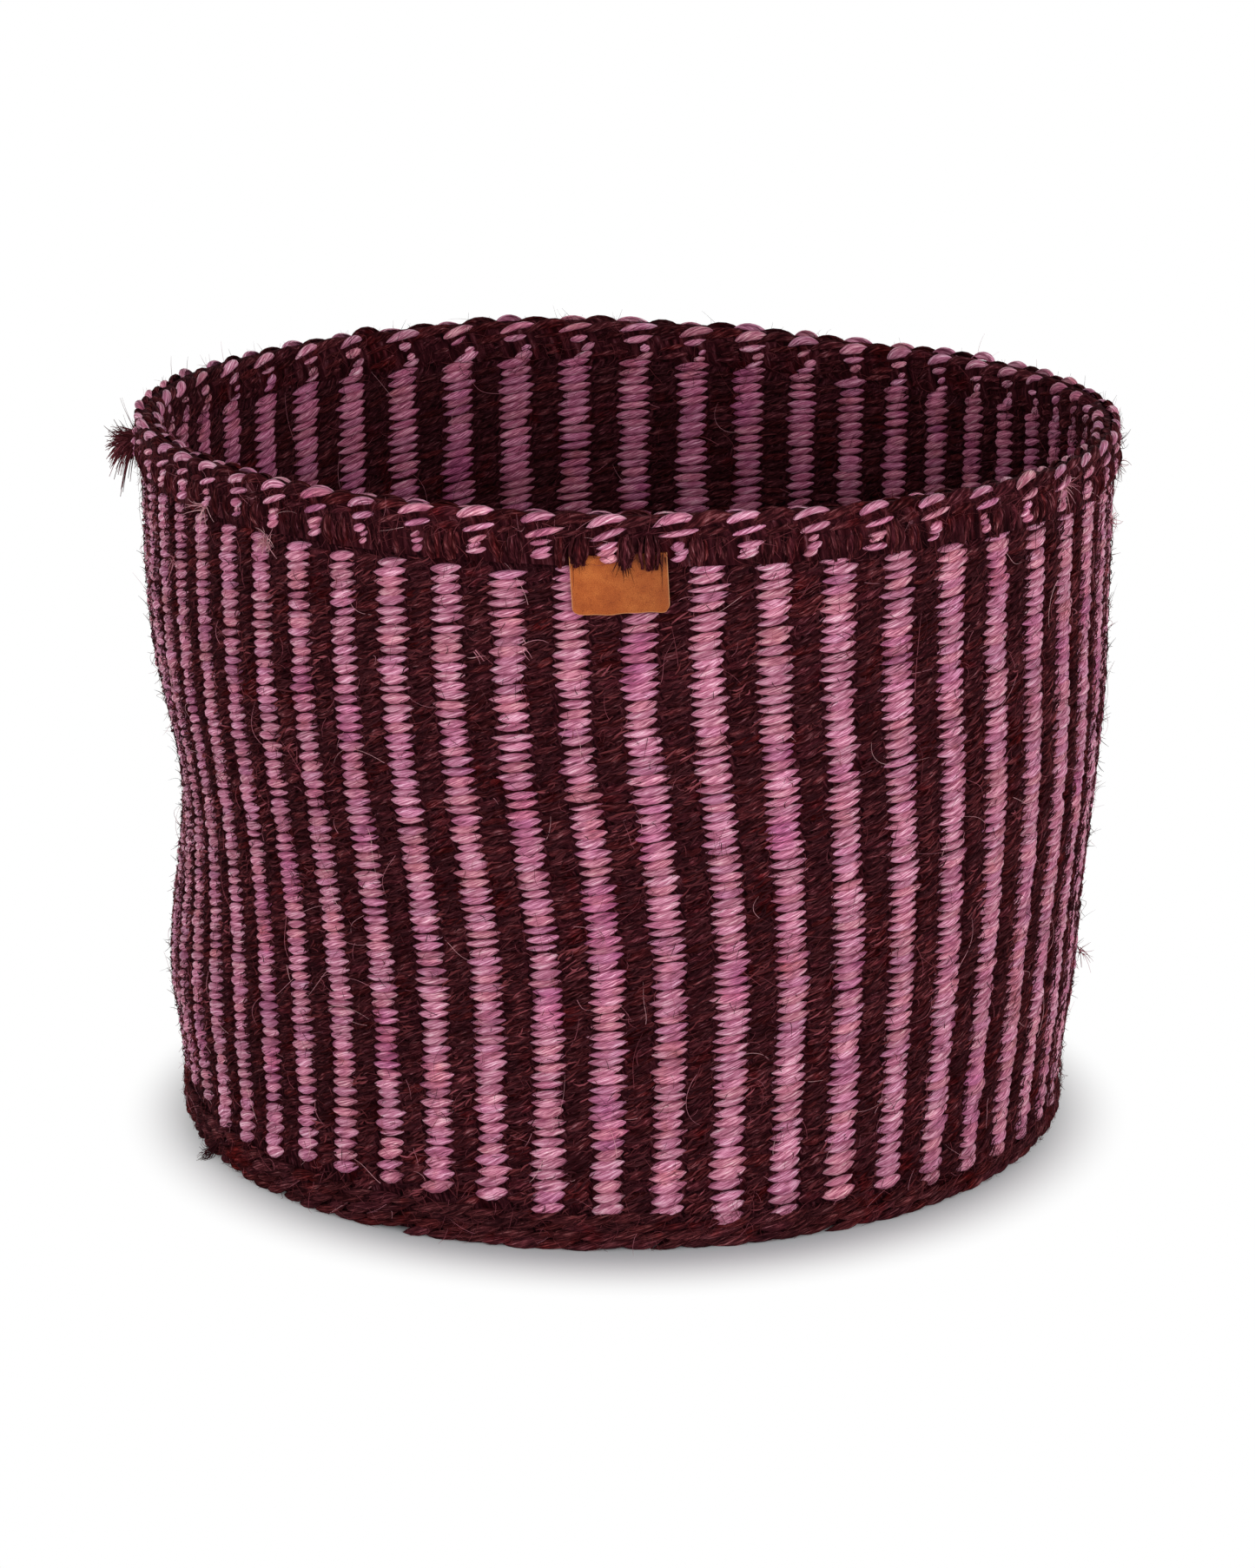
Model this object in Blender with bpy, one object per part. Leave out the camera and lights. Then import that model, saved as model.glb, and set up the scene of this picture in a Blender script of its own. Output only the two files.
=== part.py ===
"""Twined sisal storage basket with a twisted rim and a leather label.

The basket is woven upwards from a round base. Its uprights, the warps, turn up from the base
and pass through the wall. Two weft strands, one plum and one pink, twine round the warps, so
that each warp is covered by one colour outside and by the other inside. The floats of one
colour stack into an upright column, and the columns alternate round the basket.

Angles run from the front of the basket, towards +X. Heights run from the floor. A place along
the weave is counted in columns: a pink column stands outside at every even number, and a plum
one at every odd number.
"""

import math

import bmesh
import bpy
from mathutils import Matrix, Vector

MM = 0.001

# Overall shape
HEIGHT = 260 * MM
FOOT_RADIUS = 164.5 * MM
MOUTH_RADIUS = 176 * MM
FLARE_HEIGHT = 175 * MM
CLEARANCE = 0.3 * MM

# Hand-made irregularity: the foot sits off centre and the rim rises on one side
FOOT_SHIFT = 3.2 * MM
FOOT_SHIFT_ANGLE = math.radians(-35)
RIM_RISE = 1.8 * MM
RIM_RISE_ANGLE = math.radians(-120)

# Waves of the rim: angle, half width, height
RIM_WAVES = (
    (math.radians(-166), math.radians(26), 1.6 * MM),
    (math.radians(148), math.radians(24), -2.6 * MM),
)

# Hollows and swells in the soft wall: angle, height, half width, half height, depth outwards
SWELLS = (
    (math.radians(-88), 129 * MM, math.radians(34), 41 * MM, -9.5 * MM),
    (math.radians(-80), 52 * MM, math.radians(30), 26 * MM, 3.0 * MM),
    (math.radians(-38), 4 * MM, math.radians(24), 26 * MM, 3.0 * MM),
    (math.radians(90), 52 * MM, math.radians(30), 24 * MM, 1.8 * MM),
    (math.radians(20), 112 * MM, math.radians(26), 44 * MM, -2.5 * MM),
    (math.radians(140), 130 * MM, math.radians(32), 46 * MM, -4.5 * MM),
    (math.radians(-165), 92 * MM, math.radians(30), 40 * MM, 3.0 * MM),
)

# Columns of weft floats over the warps, in pairs of one pink and one plum. Waves of their
# spacing: number of waves round the basket, size, start
PAIRS = 52
FIRST_COLUMN = math.radians(-2.6)
COLUMN_WAVES = (
    (1, math.radians(3.6), math.radians(-169)),
    (2, math.radians(3.8), math.radians(-43)),
)
COLUMN_LEAN = math.radians(4.1)
LEAN_TOP = 215 * MM
LEAN_FOOT = 80 * MM
COLUMN_GAP = 0.4 * MM
FLOAT_THICKNESS = 2.3 * MM
PLUM_FLOAT_THICKNESS = 1.9 * MM
CREST_SHARE = 0.52
WARP_THICKNESS = 3.0 * MM
TIE_HEIGHT = 2.4 * MM
LEVEL_SHARES = (0.0, 0.24, 0.47, 0.7, 1.0)

# Base and foot
BASE_THICKNESS = 7 * MM
BASE_ROUNDS = 3
BASE_ROUND_RELIEF = 1.4 * MM
HUB_RADIUS = 17 * MM
HUB_THICKNESS = 8.5 * MM
FOOT_ROUNDS = 3
FOOT_ROUND_HEIGHT = 4 * MM
FOOT_ROUND_BULGE = 1.2 * MM

# Rim: a bundle of folded warps, two twisted strands on it, and a finish on its outer face
RIM_CORE_WIDTH = 6.5 * MM
RIM_CORE_HEIGHT = 3.8 * MM
TWIST_INSET = 3 * MM
TWIST_RADIUS = 4.8 * MM
TWIST_CORE_GAP = 0.7 * MM
TWIST_INNER_WIDTH = 4.2 * MM
TWIST_OUTER_WIDTH = 3 * MM
TWIST_STEPS = 5
SIDE_STRAND_HEIGHT = 3 * MM
SIDE_STRAND_THICKNESS = 3 * MM
SIDE_STRAND_LOW_SHARE = 0.55
BEAD_REACH = 0.45
BEAD_RISE = 1 * MM
BAND_HEIGHT = 6.8 * MM
BAND_THICKNESS = 3.4 * MM
BAND_LOW_SHARE = 0.4

# Leather label, tucked under the band and free below its crease
LABEL_ANGLE = math.radians(-0.9)
LABEL_WIDTH = 31.5 * MM
LABEL_THICKNESS = 1.8 * MM
LABEL_DROP = 14.6 * MM
LABEL_TUCK = 5 * MM
LABEL_CORNER = 2.6 * MM
LABEL_TILT = math.radians(3.2)
LABEL_CREASE_DROP = 1 * MM
LABEL_STRIPS = 6
LABEL_CORNER_STEPS = 4

# Cut ends of the weft, left outside at the rim and at the foot
RIM_TAIL_COLUMN = 78
RIM_TAIL_LENGTH = 4.5 * MM
RIM_TAIL_RADIUS = 2.4 * MM
FOOT_TAIL_ANGLE = math.radians(-62)
FOOT_TAIL_LENGTH = 9 * MM
FOOT_TAIL_RADIUS = 1.5 * MM
TAIL_SIDES = 8

# Colours as linear values
PLUM = (0.040, 0.009, 0.013)
PLUM_FOOT = (0.055, 0.010, 0.010)
PINK = (0.440, 0.105, 0.205)
TAN_LEATHER = (0.440, 0.150, 0.035)

# Sizes that follow from those above
COLUMNS = 2 * PAIRS
COLUMN_PITCH = 2 * math.pi / COLUMNS
FOOT_ROUND_STEP = FOOT_ROUND_HEIGHT + CLEARANCE
FOOT_TOP = FOOT_ROUNDS * FOOT_ROUND_STEP - CLEARANCE
TWIST_CENTRE = HEIGHT - TWIST_RADIUS
RIM_CORE_TOP = TWIST_CENTRE - TWIST_RADIUS - CLEARANCE
WALL_TOP = RIM_CORE_TOP - RIM_CORE_HEIGHT - CLEARANCE
TIE_FOOT = WALL_TOP - TIE_HEIGHT
SIDE_STRAND_FOOT = RIM_CORE_TOP - CLEARANCE
BAND_TOP = SIDE_STRAND_FOOT - CLEARANCE
BAND_FOOT = BAND_TOP - BAND_HEIGHT
LABEL_CREASE = BAND_FOOT - LABEL_CREASE_DROP


def smooth(share):
    """A ramp from 0 to 1 that starts and ends level."""
    share = min(max(share, 0.0), 1.0)
    return share * share * (3 - 2 * share)


def turned(angle):
    """An angle brought between minus and plus half a turn."""
    return (angle + math.pi) % (2 * math.pi) - math.pi


def wall_radius(angle, height):
    """Radius of the wall's outer face, flare and swells included."""
    radius = FOOT_RADIUS + (MOUTH_RADIUS - FOOT_RADIUS) * smooth(height / FLARE_HEIGHT)
    for centre, level, half_width, half_height, depth in SWELLS:
        across = turned(angle - centre) / half_width
        along = (height - level) / half_height
        radius += depth * math.exp(-across * across - along * along)
    return radius


def warp_face(angle, height):
    """Radius of the outer face of the layer of warps, behind the outer columns."""
    return wall_radius(angle, height) - FLOAT_THICKNESS - CLEARANCE


def column_angle(column, height):
    """Angle at which a place counted in columns stands at a height. Waves round the basket
    make the columns wider at some places than at others."""
    even = FIRST_COLUMN + column * COLUMN_PITCH
    shift = sum(size * math.sin(count * even + start) for count, size, start in COLUMN_WAVES)
    facing = (1 + math.cos(even)) / 2
    fall = 1 - smooth((height - LEAN_FOOT) / (LEAN_TOP - LEAN_FOOT))
    return even + shift + COLUMN_LEAN * facing * facing * fall


def rim_rise(angle):
    """How far the rim stands above or below its even height."""
    rise = RIM_RISE * math.cos(angle - RIM_RISE_ANGLE)
    for centre, half_width, height in RIM_WAVES:
        across = turned(angle - centre) / half_width
        rise += height * math.exp(-across * across)
    return rise


def place(angle, radius, height):
    """The point at an angle, a radius and a height, on the leaning basket."""
    lean = FOOT_SHIFT * (1 - height / HEIGHT) ** 2
    return Vector((
        lean * math.sin(FOOT_SHIFT_ANGLE) + radius * math.sin(angle),
        -lean * math.cos(FOOT_SHIFT_ANGLE) - radius * math.cos(angle),
        height + rim_rise(angle) * height / HEIGHT,
    ))


def material(name, colour, roughness):
    made = bpy.data.materials.new(name)
    made.use_nodes = True
    shader = made.node_tree.nodes["Principled BSDF"]
    shader.inputs["Base Color"].default_value = (*colour, 1)
    shader.inputs["Roughness"].default_value = roughness
    shader.inputs["Metallic"].default_value = 0
    made.diffuse_color = (*colour, 1)
    return made


def finish(name, mesh, colour, sharp_angle=math.radians(50)):
    """Turns a bmesh into a named object, with faces outwards and rounded shading."""
    bmesh.ops.recalc_face_normals(mesh, faces=mesh.faces)
    data = bpy.data.meshes.new(name)
    mesh.to_mesh(data)
    mesh.free()
    data.materials.append(colour)
    data.shade_smooth()
    data.set_sharp_from_angle(angle=sharp_angle)
    made = bpy.data.objects.new(name, data)
    bpy.context.scene.collection.objects.link(made)
    return made


def skin(mesh, lower, upper):
    """Joins two closed rows of vertices by triangles that all slant the same way."""
    for i in range(len(lower)):
        j = (i + 1) % len(lower)
        mesh.faces.new((lower[i], lower[j], upper[j]))
        mesh.faces.new((lower[i], upper[j], upper[i]))


def rows_of(mesh, sections):
    """Vertices at each section's points."""
    return [[mesh.verts.new(point) for point in section] for section in sections]


def loft(mesh, sections):
    """A closed bar through sections of equal numbers of points, with flat ends."""
    rows = rows_of(mesh, sections)
    for row, following in zip(rows, rows[1:]):
        skin(mesh, row, following)
    mesh.faces.new(rows[0])
    mesh.faces.new(rows[-1])


def hoop(mesh, sections):
    """A closed ring through sections, the last of which meets the first."""
    rows = rows_of(mesh, sections)
    for row, following in zip(rows, rows[1:] + rows[:1]):
        skin(mesh, row, following)


def column_hoop(name, columns, profile, colour):
    """A ring round the basket with a section at each of the columns. The profile gives
    points (radius, height) for a column."""
    mesh = bmesh.new()
    sections = []
    for column in columns:
        sections.append([
            place(column_angle(column, height), radius, height)
            for radius, height in profile(column)
        ])
    hoop(mesh, sections)
    return finish(name, mesh, colour)


def around_chord(radius, sections):
    """The radius at which a ring's inner corners stand, for its flats to clear a radius."""
    return radius / math.cos(math.pi / sections)


def wall_levels(foot, top):
    """Heights at which the wall's pieces have a section."""
    return [foot + share * (top - foot) for share in LEVEL_SHARES]


def half_width(radius):
    """Half the width of a column's back at a radius, counted in columns."""
    return 0.5 - COLUMN_GAP / 2 / (radius * COLUMN_PITCH)


def outer_section(column, height, back, crest, thickness):
    """Corners of a column outside: its back, then its crest, which is a ridge where the
    crest has no width. Widths are counted in columns, from the middle."""
    corners = [(-back, 0), (back, 0)]
    if crest:
        corners += [(crest, thickness), (-crest, thickness)]
    else:
        corners += [(0, thickness)]
    points = []
    for offset, out in corners:
        angle = column_angle(column + offset, height)
        points.append(place(angle, warp_face(angle, height) + CLEARANCE + out, height))
    return points


def pink_outside(column, height):
    """Section of a pink column outside: back left, back right, crest right, crest left."""
    back = half_width(warp_face(column_angle(column, height), height))
    return outer_section(column, height, back, CREST_SHARE / 2, FLOAT_THICKNESS)


def plum_outside(column, height):
    """Section of a plum column outside: back left, back right, ridge."""
    back = half_width(warp_face(column_angle(column, height), height))
    return outer_section(column, height, back, 0, PLUM_FLOAT_THICKNESS)


def pink_inside(column, height):
    """Section of a pink column inside: back left, back right, ridge."""
    back = half_width(warp_face(column_angle(column, height), height) - WARP_THICKNESS)
    depth = WARP_THICKNESS + CLEARANCE
    points = []
    for offset, more in ((-back, 0), (back, 0), (0, FLOAT_THICKNESS)):
        angle = column_angle(column + offset, height)
        points.append(place(angle, warp_face(angle, height) - depth - more, height))
    return points


def bars(mesh, section, first, levels, open_end):
    """Upright bars at every second column, closed at one end. Gives their rows of vertices
    at the open end, which is their first row, 0, or their last, -1."""
    ends = []
    for column in range(first, COLUMNS, 2):
        rows = rows_of(mesh, [section(column, height) for height in levels])
        for row, following in zip(rows, rows[1:]):
            skin(mesh, row, following)
        mesh.faces.new(rows[-1 - open_end])
        ends.append(rows[open_end])
    return ends


def pink_weft(colour):
    """The pink strand: its floats outside and inside, stacked into columns, and the round
    over the wall's top by which it passes from the outer columns to the inner ones."""
    mesh = bmesh.new()
    levels = wall_levels(FOOT_TOP + CLEARANCE, TIE_FOOT)
    outer = bars(mesh, pink_outside, 0, levels, -1)
    inner = bars(mesh, pink_inside, 1, levels, -1)
    crests = []
    ridges = []
    for pair in range(PAIRS):
        crest = pink_outside(2 * pair, WALL_TOP)[2:]
        crests.append([mesh.verts.new(point) for point in reversed(crest)])
        ridges.append(mesh.verts.new(pink_inside(2 * pair + 1, WALL_TOP)[2]))
    for pair in range(PAIRS):
        after = (pair + 1) % PAIRS
        back_left, back_right, crest_right, crest_left = outer[pair]
        next_back, _, _, next_crest = outer[after]
        left, right, ridge = inner[pair]
        _, last_right, last_ridge = inner[pair - 1]
        top_left, top_right = crests[pair]
        next_top = crests[after][0]
        mesh.faces.new((
            back_left, back_right, crest_right, next_crest, next_back, right, left, last_right
        ))
        mesh.faces.new((last_right, left, ridge, last_ridge))
        mesh.faces.new((crest_left, crest_right, top_right, top_left))
        mesh.faces.new((crest_right, next_crest, next_top, top_right))
        mesh.faces.new((last_ridge, ridge, ridges[pair], ridges[pair - 1]))
        mesh.faces.new((top_left, top_right, next_top, ridges[pair], ridges[pair - 1]))
    return finish("pink_weft", mesh, colour)


def foot_inside(angle):
    """Radius at which the rounds of the foot clear the warps behind them."""
    face = max(warp_face(angle, 0), warp_face(angle, FOOT_TOP))
    return around_chord(face + CLEARANCE, PAIRS)


def foot_round(number, colour):
    """One round of thick plum twining where the base turns up into the wall."""
    low = number * FOOT_ROUND_STEP
    high = low + FOOT_ROUND_HEIGHT
    belly = (low + high) / 2

    def profile(column):
        angle = column_angle(column, belly)
        edge = wall_radius(angle, belly)
        inside = foot_inside(angle)
        return (
            (inside, low),
            (edge - FOOT_ROUND_BULGE, low),
            (edge, belly),
            (edge - FOOT_ROUND_BULGE, high),
            (inside, high),
        )

    return column_hoop(f"foot_round_{number + 1}", range(1, COLUMNS, 2), profile, colour)


def plum_weft(colour):
    """The plum strand: the last round of the foot and, standing on it, its floats outside,
    stacked into columns."""
    mesh = bmesh.new()
    levels = wall_levels(FOOT_TOP, TIE_FOOT - CLEARANCE)
    feet = bars(mesh, plum_outside, 1, levels, 0)
    low = FOOT_TOP - FOOT_ROUND_HEIGHT
    belly = (low + FOOT_TOP) / 2
    rounds = []
    for pair in range(PAIRS):
        column = 2 * pair + 1
        angle = column_angle(column, belly)
        edge = wall_radius(angle, belly)
        left, right, _ = plum_outside(column, low)
        rounds.append([
            mesh.verts.new(point)
            for point in (
                left, right, place(angle, edge - FOOT_ROUND_BULGE, low), place(angle, edge, belly)
            )
        ])
    for pair in range(PAIRS):
        after = (pair + 1) % PAIRS
        left, right, ridge = feet[pair]
        next_left, _, next_ridge = feet[after]
        low_left, low_right, low_edge, edge = rounds[pair]
        next_low_left, _, next_low_edge, next_edge = rounds[after]
        mesh.faces.new((left, right, low_right, low_left))
        mesh.faces.new((right, next_left, next_low_left, low_right))
        mesh.faces.new((right, next_left, next_ridge, ridge))
        mesh.faces.new((ridge, next_ridge, next_edge, edge))
        mesh.faces.new((edge, next_edge, next_low_edge, low_edge))
        mesh.faces.new((low_left, low_right, next_low_left, next_low_edge, low_edge))
    return finish("plum_weft", mesh, colour)


def warp_wall(colour):
    """The layer of upright warps, side by side and bound into one wall."""
    levels = [0, *wall_levels(FOOT_TOP, TIE_FOOT - CLEARANCE)]
    mesh = bmesh.new()
    faces = []
    for depth in (0, WARP_THICKNESS):
        rings = []
        for height in levels:
            angles = [column_angle(i + 0.5, height) for i in range(COLUMNS)]
            rings.append([place(a, warp_face(a, height) - depth, height) for a in angles])
        rows = rows_of(mesh, rings)
        for row, following in zip(rows, rows[1:]):
            skin(mesh, row, following)
        faces.append(rows)
    for end in (0, -1):
        skin(mesh, faces[0][end], faces[1][end])
    return finish("warp_wall", mesh, colour)


def base_disc(colour):
    """The woven floor: rounds of twining with a shallow groove between them, flat below."""
    def profile(column):
        angle = column_angle(column, 0)
        edge = warp_face(angle, 0) - WARP_THICKNESS - CLEARANCE
        start = HUB_RADIUS + CLEARANCE
        step = (edge - start) / BASE_ROUNDS
        groove = BASE_THICKNESS - BASE_ROUND_RELIEF
        points = [(start, 0), (edge, 0)]
        for number in reversed(range(BASE_ROUNDS)):
            outer = start + (number + 1) * step
            points += [(outer, groove), (outer - step / 2, BASE_THICKNESS)]
        return [*points, (start, groove)]

    return column_hoop("base_disc", range(1, COLUMNS, 2), profile, colour)


def base_hub(colour):
    """The knot of crossed warps from which the base is begun."""
    mesh = bmesh.new()
    sides = PAIRS // 2
    edge = BASE_THICKNESS - BASE_ROUND_RELIEF
    sections = []
    for radius, height in ((HUB_RADIUS, 0), (HUB_RADIUS, edge), (HUB_RADIUS / 2, HUB_THICKNESS)):
        sections.append([
            place(step * 2 * math.pi / sides, radius, height) for step in range(sides)
        ])
    loft(mesh, sections)
    return finish("base_hub", mesh, colour)


def rim_face(angle):
    """Radius of the rim's foot, flush with the wall below it."""
    return wall_radius(angle, WALL_TOP)


def rim_core(colour):
    """The bundle of folded warp ends on the wall's top, which the rim's strands cover."""
    def profile(column):
        outer = rim_face(column_angle(column, WALL_TOP))
        low = WALL_TOP + CLEARANCE
        return (
            (outer - RIM_CORE_WIDTH, low),
            (outer, low),
            (outer, RIM_CORE_TOP),
            (outer - RIM_CORE_WIDTH, RIM_CORE_TOP),
        )

    return column_hoop("rim_core", range(1, COLUMNS, 2), profile, colour)


def twist_strand(name, lowest, colour):
    """One of the two strands twisted round each other along the rim. It lies lowest at the
    given column, and again at every second one. Its flat inner side faces its partner."""
    mesh = bmesh.new()
    flat = TWIST_CORE_GAP / 2
    sections = []
    for step in range(PAIRS * TWIST_STEPS):
        column = lowest + 2 * step / TWIST_STEPS
        turn = math.pi * (column - lowest) - math.pi / 2
        angle = column_angle(column, WALL_TOP)
        section = []
        for out, half in (
            (flat, -TWIST_INNER_WIDTH / 2),
            (TWIST_RADIUS, -TWIST_OUTER_WIDTH / 2),
            (TWIST_RADIUS, TWIST_OUTER_WIDTH / 2),
            (flat, TWIST_INNER_WIDTH / 2),
        ):
            across = out * math.cos(turn) - half * math.sin(turn)
            up = out * math.sin(turn) + half * math.cos(turn)
            radius = rim_face(angle) - TWIST_INSET + across
            section.append(place(angle, radius, TWIST_CENTRE + up))
        sections.append(section)
    hoop(mesh, sections)
    return finish(name, mesh, colour)


def over_label(angle, columns):
    """How far out the rim's finish rides where the tucked leather lies behind it, or within
    so many columns of it."""
    reach = LABEL_WIDTH / 2 / MOUTH_RADIUS + columns * COLUMN_PITCH
    if abs(turned(angle - LABEL_ANGLE)) > reach:
        return 0
    return label_face() + LABEL_THICKNESS - rim_face(angle)


def rim_band(colour):
    """The folded ends of the warps on the rim's outer face: upright cords, bound together,
    one at every pink column."""
    def profile(column):
        angle = column_angle(column, WALL_TOP)
        face = rim_face(angle) + over_label(angle, 1.5)
        inside = around_chord(face + CLEARANCE, COLUMNS)
        share = BAND_LOW_SHARE if column % 2 else 1
        outside = inside + BAND_THICKNESS * share
        return (
            (inside, BAND_FOOT),
            (outside, BAND_FOOT),
            (outside, BAND_TOP),
            (inside, BAND_TOP),
        )

    return column_hoop("rim_band", range(COLUMNS), profile, colour)


def rim_side_strand(colour):
    """The pink strand along the rim's outer face, with a bead at every plum column that
    hangs between two cords of the band."""
    def profile(column):
        angle = column_angle(column, WALL_TOP)
        beside = abs(column % 2 - 1) > 0
        share = SIDE_STRAND_LOW_SHARE if beside else 1
        reach = math.hypot(TWIST_RADIUS, TWIST_OUTER_WIDTH / 2) - TWIST_INSET
        band = around_chord(rim_face(angle) + over_label(angle, 3) + CLEARANCE, COLUMNS)
        cord = BAND_LOW_SHARE + (1 - BAND_LOW_SHARE) * (BEAD_REACH if beside else 0)
        inside = max(rim_face(angle) + reach, band + cord * BAND_THICKNESS) + CLEARANCE
        outside = inside + SIDE_STRAND_THICKNESS * share
        foot = SIDE_STRAND_FOOT if beside else BAND_FOOT + BEAD_RISE
        return (
            (inside, foot),
            (outside, foot),
            (outside, SIDE_STRAND_FOOT + SIDE_STRAND_HEIGHT * share),
            (inside, SIDE_STRAND_FOOT + SIDE_STRAND_HEIGHT * share),
        )

    columns = [
        column + offset
        for column in range(1, COLUMNS, 2)
        for offset in (-BEAD_REACH, 0, BEAD_REACH)
    ]
    return column_hoop("rim_side_strand", columns, profile, colour)


def label_face():
    """Radius of the label's back, clear of the wall and of the rim core."""
    reach = LABEL_WIDTH / 2 / MOUTH_RADIUS
    spread = [LABEL_ANGLE + reach * share for share in (-1, -0.5, 0, 0.5, 1)]
    low = LABEL_CREASE - LABEL_DROP
    levels = (low, (low + WALL_TOP) / 2, WALL_TOP)
    return max(wall_radius(a, h) for a in spread for h in levels) + CLEARANCE


def label_spot(across, up, above):
    """A point of the label, from distances on the flat leather measured from its crease."""
    turned_across = across * math.cos(LABEL_TILT) - up * math.sin(LABEL_TILT)
    turned_up = across * math.sin(LABEL_TILT) + up * math.cos(LABEL_TILT)
    back = label_face()
    return place(LABEL_ANGLE + turned_across / back, back + above, LABEL_CREASE + turned_up)


def label_piece(name, columns, colour):
    """A piece of the bent leather. Each column is (across, low, high) on the flat leather."""
    mesh = bmesh.new()
    sections = [
        [
            label_spot(across, low, 0),
            label_spot(across, high, 0),
            label_spot(across, high, LABEL_THICKNESS),
            label_spot(across, low, LABEL_THICKNESS),
        ]
        for across, low, high in columns
    ]
    loft(mesh, sections)
    return finish(name, mesh, colour, math.radians(30))


def strip_places():
    """Distances across the label at which the bent leather has a section."""
    half = LABEL_WIDTH / 2
    return [half * (2 * step / LABEL_STRIPS - 1) for step in range(LABEL_STRIPS + 1)]


def label_tuck(colour):
    """The top of the label, held between the wall and the folded ends."""
    low = CLEARANCE / 2
    return label_piece("label_tuck", [(x, low, LABEL_TUCK) for x in strip_places()], colour)


def label_flap(colour):
    """The free part of the label, with rounded lower corners. Its origin is on the crease,
    at the leather's outer face, where it bends."""
    half = LABEL_WIDTH / 2
    turns = [
        step / LABEL_CORNER_STEPS * math.pi / 2 for step in range(LABEL_CORNER_STEPS + 1)
    ]
    corner = [
        (half - LABEL_CORNER * (1 - math.sin(a)), LABEL_CORNER * (1 - math.cos(a)))
        for a in turns
    ]
    middle = [(x, 0.0) for x in strip_places() if abs(x) < half - LABEL_CORNER]
    outline = [(-x, up) for x, up in reversed(corner)] + middle + corner
    high = -CLEARANCE / 2
    columns = [(x, up - LABEL_DROP, high) for x, up in outline]
    flap = label_piece("label_flap", columns, colour)
    crease = label_spot(0, 0, LABEL_THICKNESS)
    flap.data.transform(Matrix.Translation(-crease))
    flap.location = crease
    return flap


def tail(name, angle, radius, height, length, near_radius, far_radius, colour):
    """A cut yarn end: a short tapered plug that stands straight out from the weave."""
    mesh = bmesh.new()
    bmesh.ops.create_cone(
        mesh,
        cap_ends=True,
        segments=TAIL_SIDES,
        radius1=near_radius,
        radius2=far_radius,
        depth=length,
    )
    bmesh.ops.translate(mesh, verts=mesh.verts, vec=(0, 0, length / 2))
    made = finish(name, mesh, colour)
    out = Vector((math.sin(angle), -math.cos(angle), 0))
    made.rotation_mode = "QUATERNION"
    made.rotation_quaternion = out.to_track_quat("Z", "Y")
    made.location = place(angle, radius, height)
    return made


def rim_tail(colour):
    """The end of the plum strand, pulled out through the band on the left."""
    angle = column_angle(RIM_TAIL_COLUMN, WALL_TOP)
    band = around_chord(rim_face(angle) + CLEARANCE, COLUMNS) + BAND_THICKNESS
    height = BAND_FOOT + BAND_HEIGHT / 2
    return tail(
        "rim_tail",
        angle,
        band + CLEARANCE,
        height,
        RIM_TAIL_LENGTH,
        RIM_TAIL_RADIUS,
        RIM_TAIL_RADIUS,
        colour,
    )


def foot_tail(colour):
    """The end of the foot's strand, left outside near the floor."""
    height = FOOT_ROUND_HEIGHT / 2
    return tail(
        "foot_tail",
        FOOT_TAIL_ANGLE,
        wall_radius(FOOT_TAIL_ANGLE, height) + CLEARANCE,
        height,
        FOOT_TAIL_LENGTH,
        FOOT_TAIL_RADIUS,
        FOOT_TAIL_RADIUS / 2,
        colour,
    )


def build():
    for old in list(bpy.data.objects):
        bpy.data.objects.remove(old)
    plum = material("plum_sisal", PLUM, 0.85)
    plum_foot = material("plum_foot_sisal", PLUM_FOOT, 0.85)
    pink = material("pink_sisal", PINK, 0.7)
    leather = material("tan_leather", TAN_LEATHER, 0.55)
    base_hub(plum_foot)
    base_disc(plum_foot)
    for number in range(FOOT_ROUNDS - 1):
        foot_round(number, plum_foot)
    warp_wall(plum)
    plum_weft(plum)
    pink_weft(pink)
    rim_core(plum)
    twist_strand("rim_twist_plum", 1, plum)
    twist_strand("rim_twist_pink", 0, pink)
    rim_band(plum)
    rim_side_strand(pink)
    label_tuck(leather)
    label_flap(leather)
    rim_tail(plum)
    foot_tail(plum_foot)


build()
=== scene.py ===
"""Looks of the twined sisal basket: every strand of its weave, its leather label, the light.

The strands follow the same rules as the solids, so that each lies where its solid is. Angles run
from the front of the basket, towards +X, and heights from the floor. Places along the weave are
counted in columns: a pink column stands outside at every even number, and a plum one at every
odd number, with the other colour behind it inside.
"""

import math
from dataclasses import dataclass

import bpy
import numpy as np
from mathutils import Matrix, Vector


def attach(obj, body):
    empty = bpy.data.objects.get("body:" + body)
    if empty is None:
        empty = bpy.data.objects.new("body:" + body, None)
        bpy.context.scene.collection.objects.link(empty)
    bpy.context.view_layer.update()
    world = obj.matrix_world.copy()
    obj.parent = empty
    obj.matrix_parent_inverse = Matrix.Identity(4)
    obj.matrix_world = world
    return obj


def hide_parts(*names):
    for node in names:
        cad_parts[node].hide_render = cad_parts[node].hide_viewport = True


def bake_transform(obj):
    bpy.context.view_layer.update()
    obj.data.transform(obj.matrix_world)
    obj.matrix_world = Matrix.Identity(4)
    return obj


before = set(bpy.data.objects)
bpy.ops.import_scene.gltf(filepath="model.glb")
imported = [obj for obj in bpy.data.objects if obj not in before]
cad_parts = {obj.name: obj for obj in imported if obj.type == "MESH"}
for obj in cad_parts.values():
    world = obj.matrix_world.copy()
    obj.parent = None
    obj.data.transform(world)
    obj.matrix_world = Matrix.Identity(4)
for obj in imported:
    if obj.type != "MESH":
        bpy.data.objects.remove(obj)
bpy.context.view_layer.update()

MM = 0.001
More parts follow.
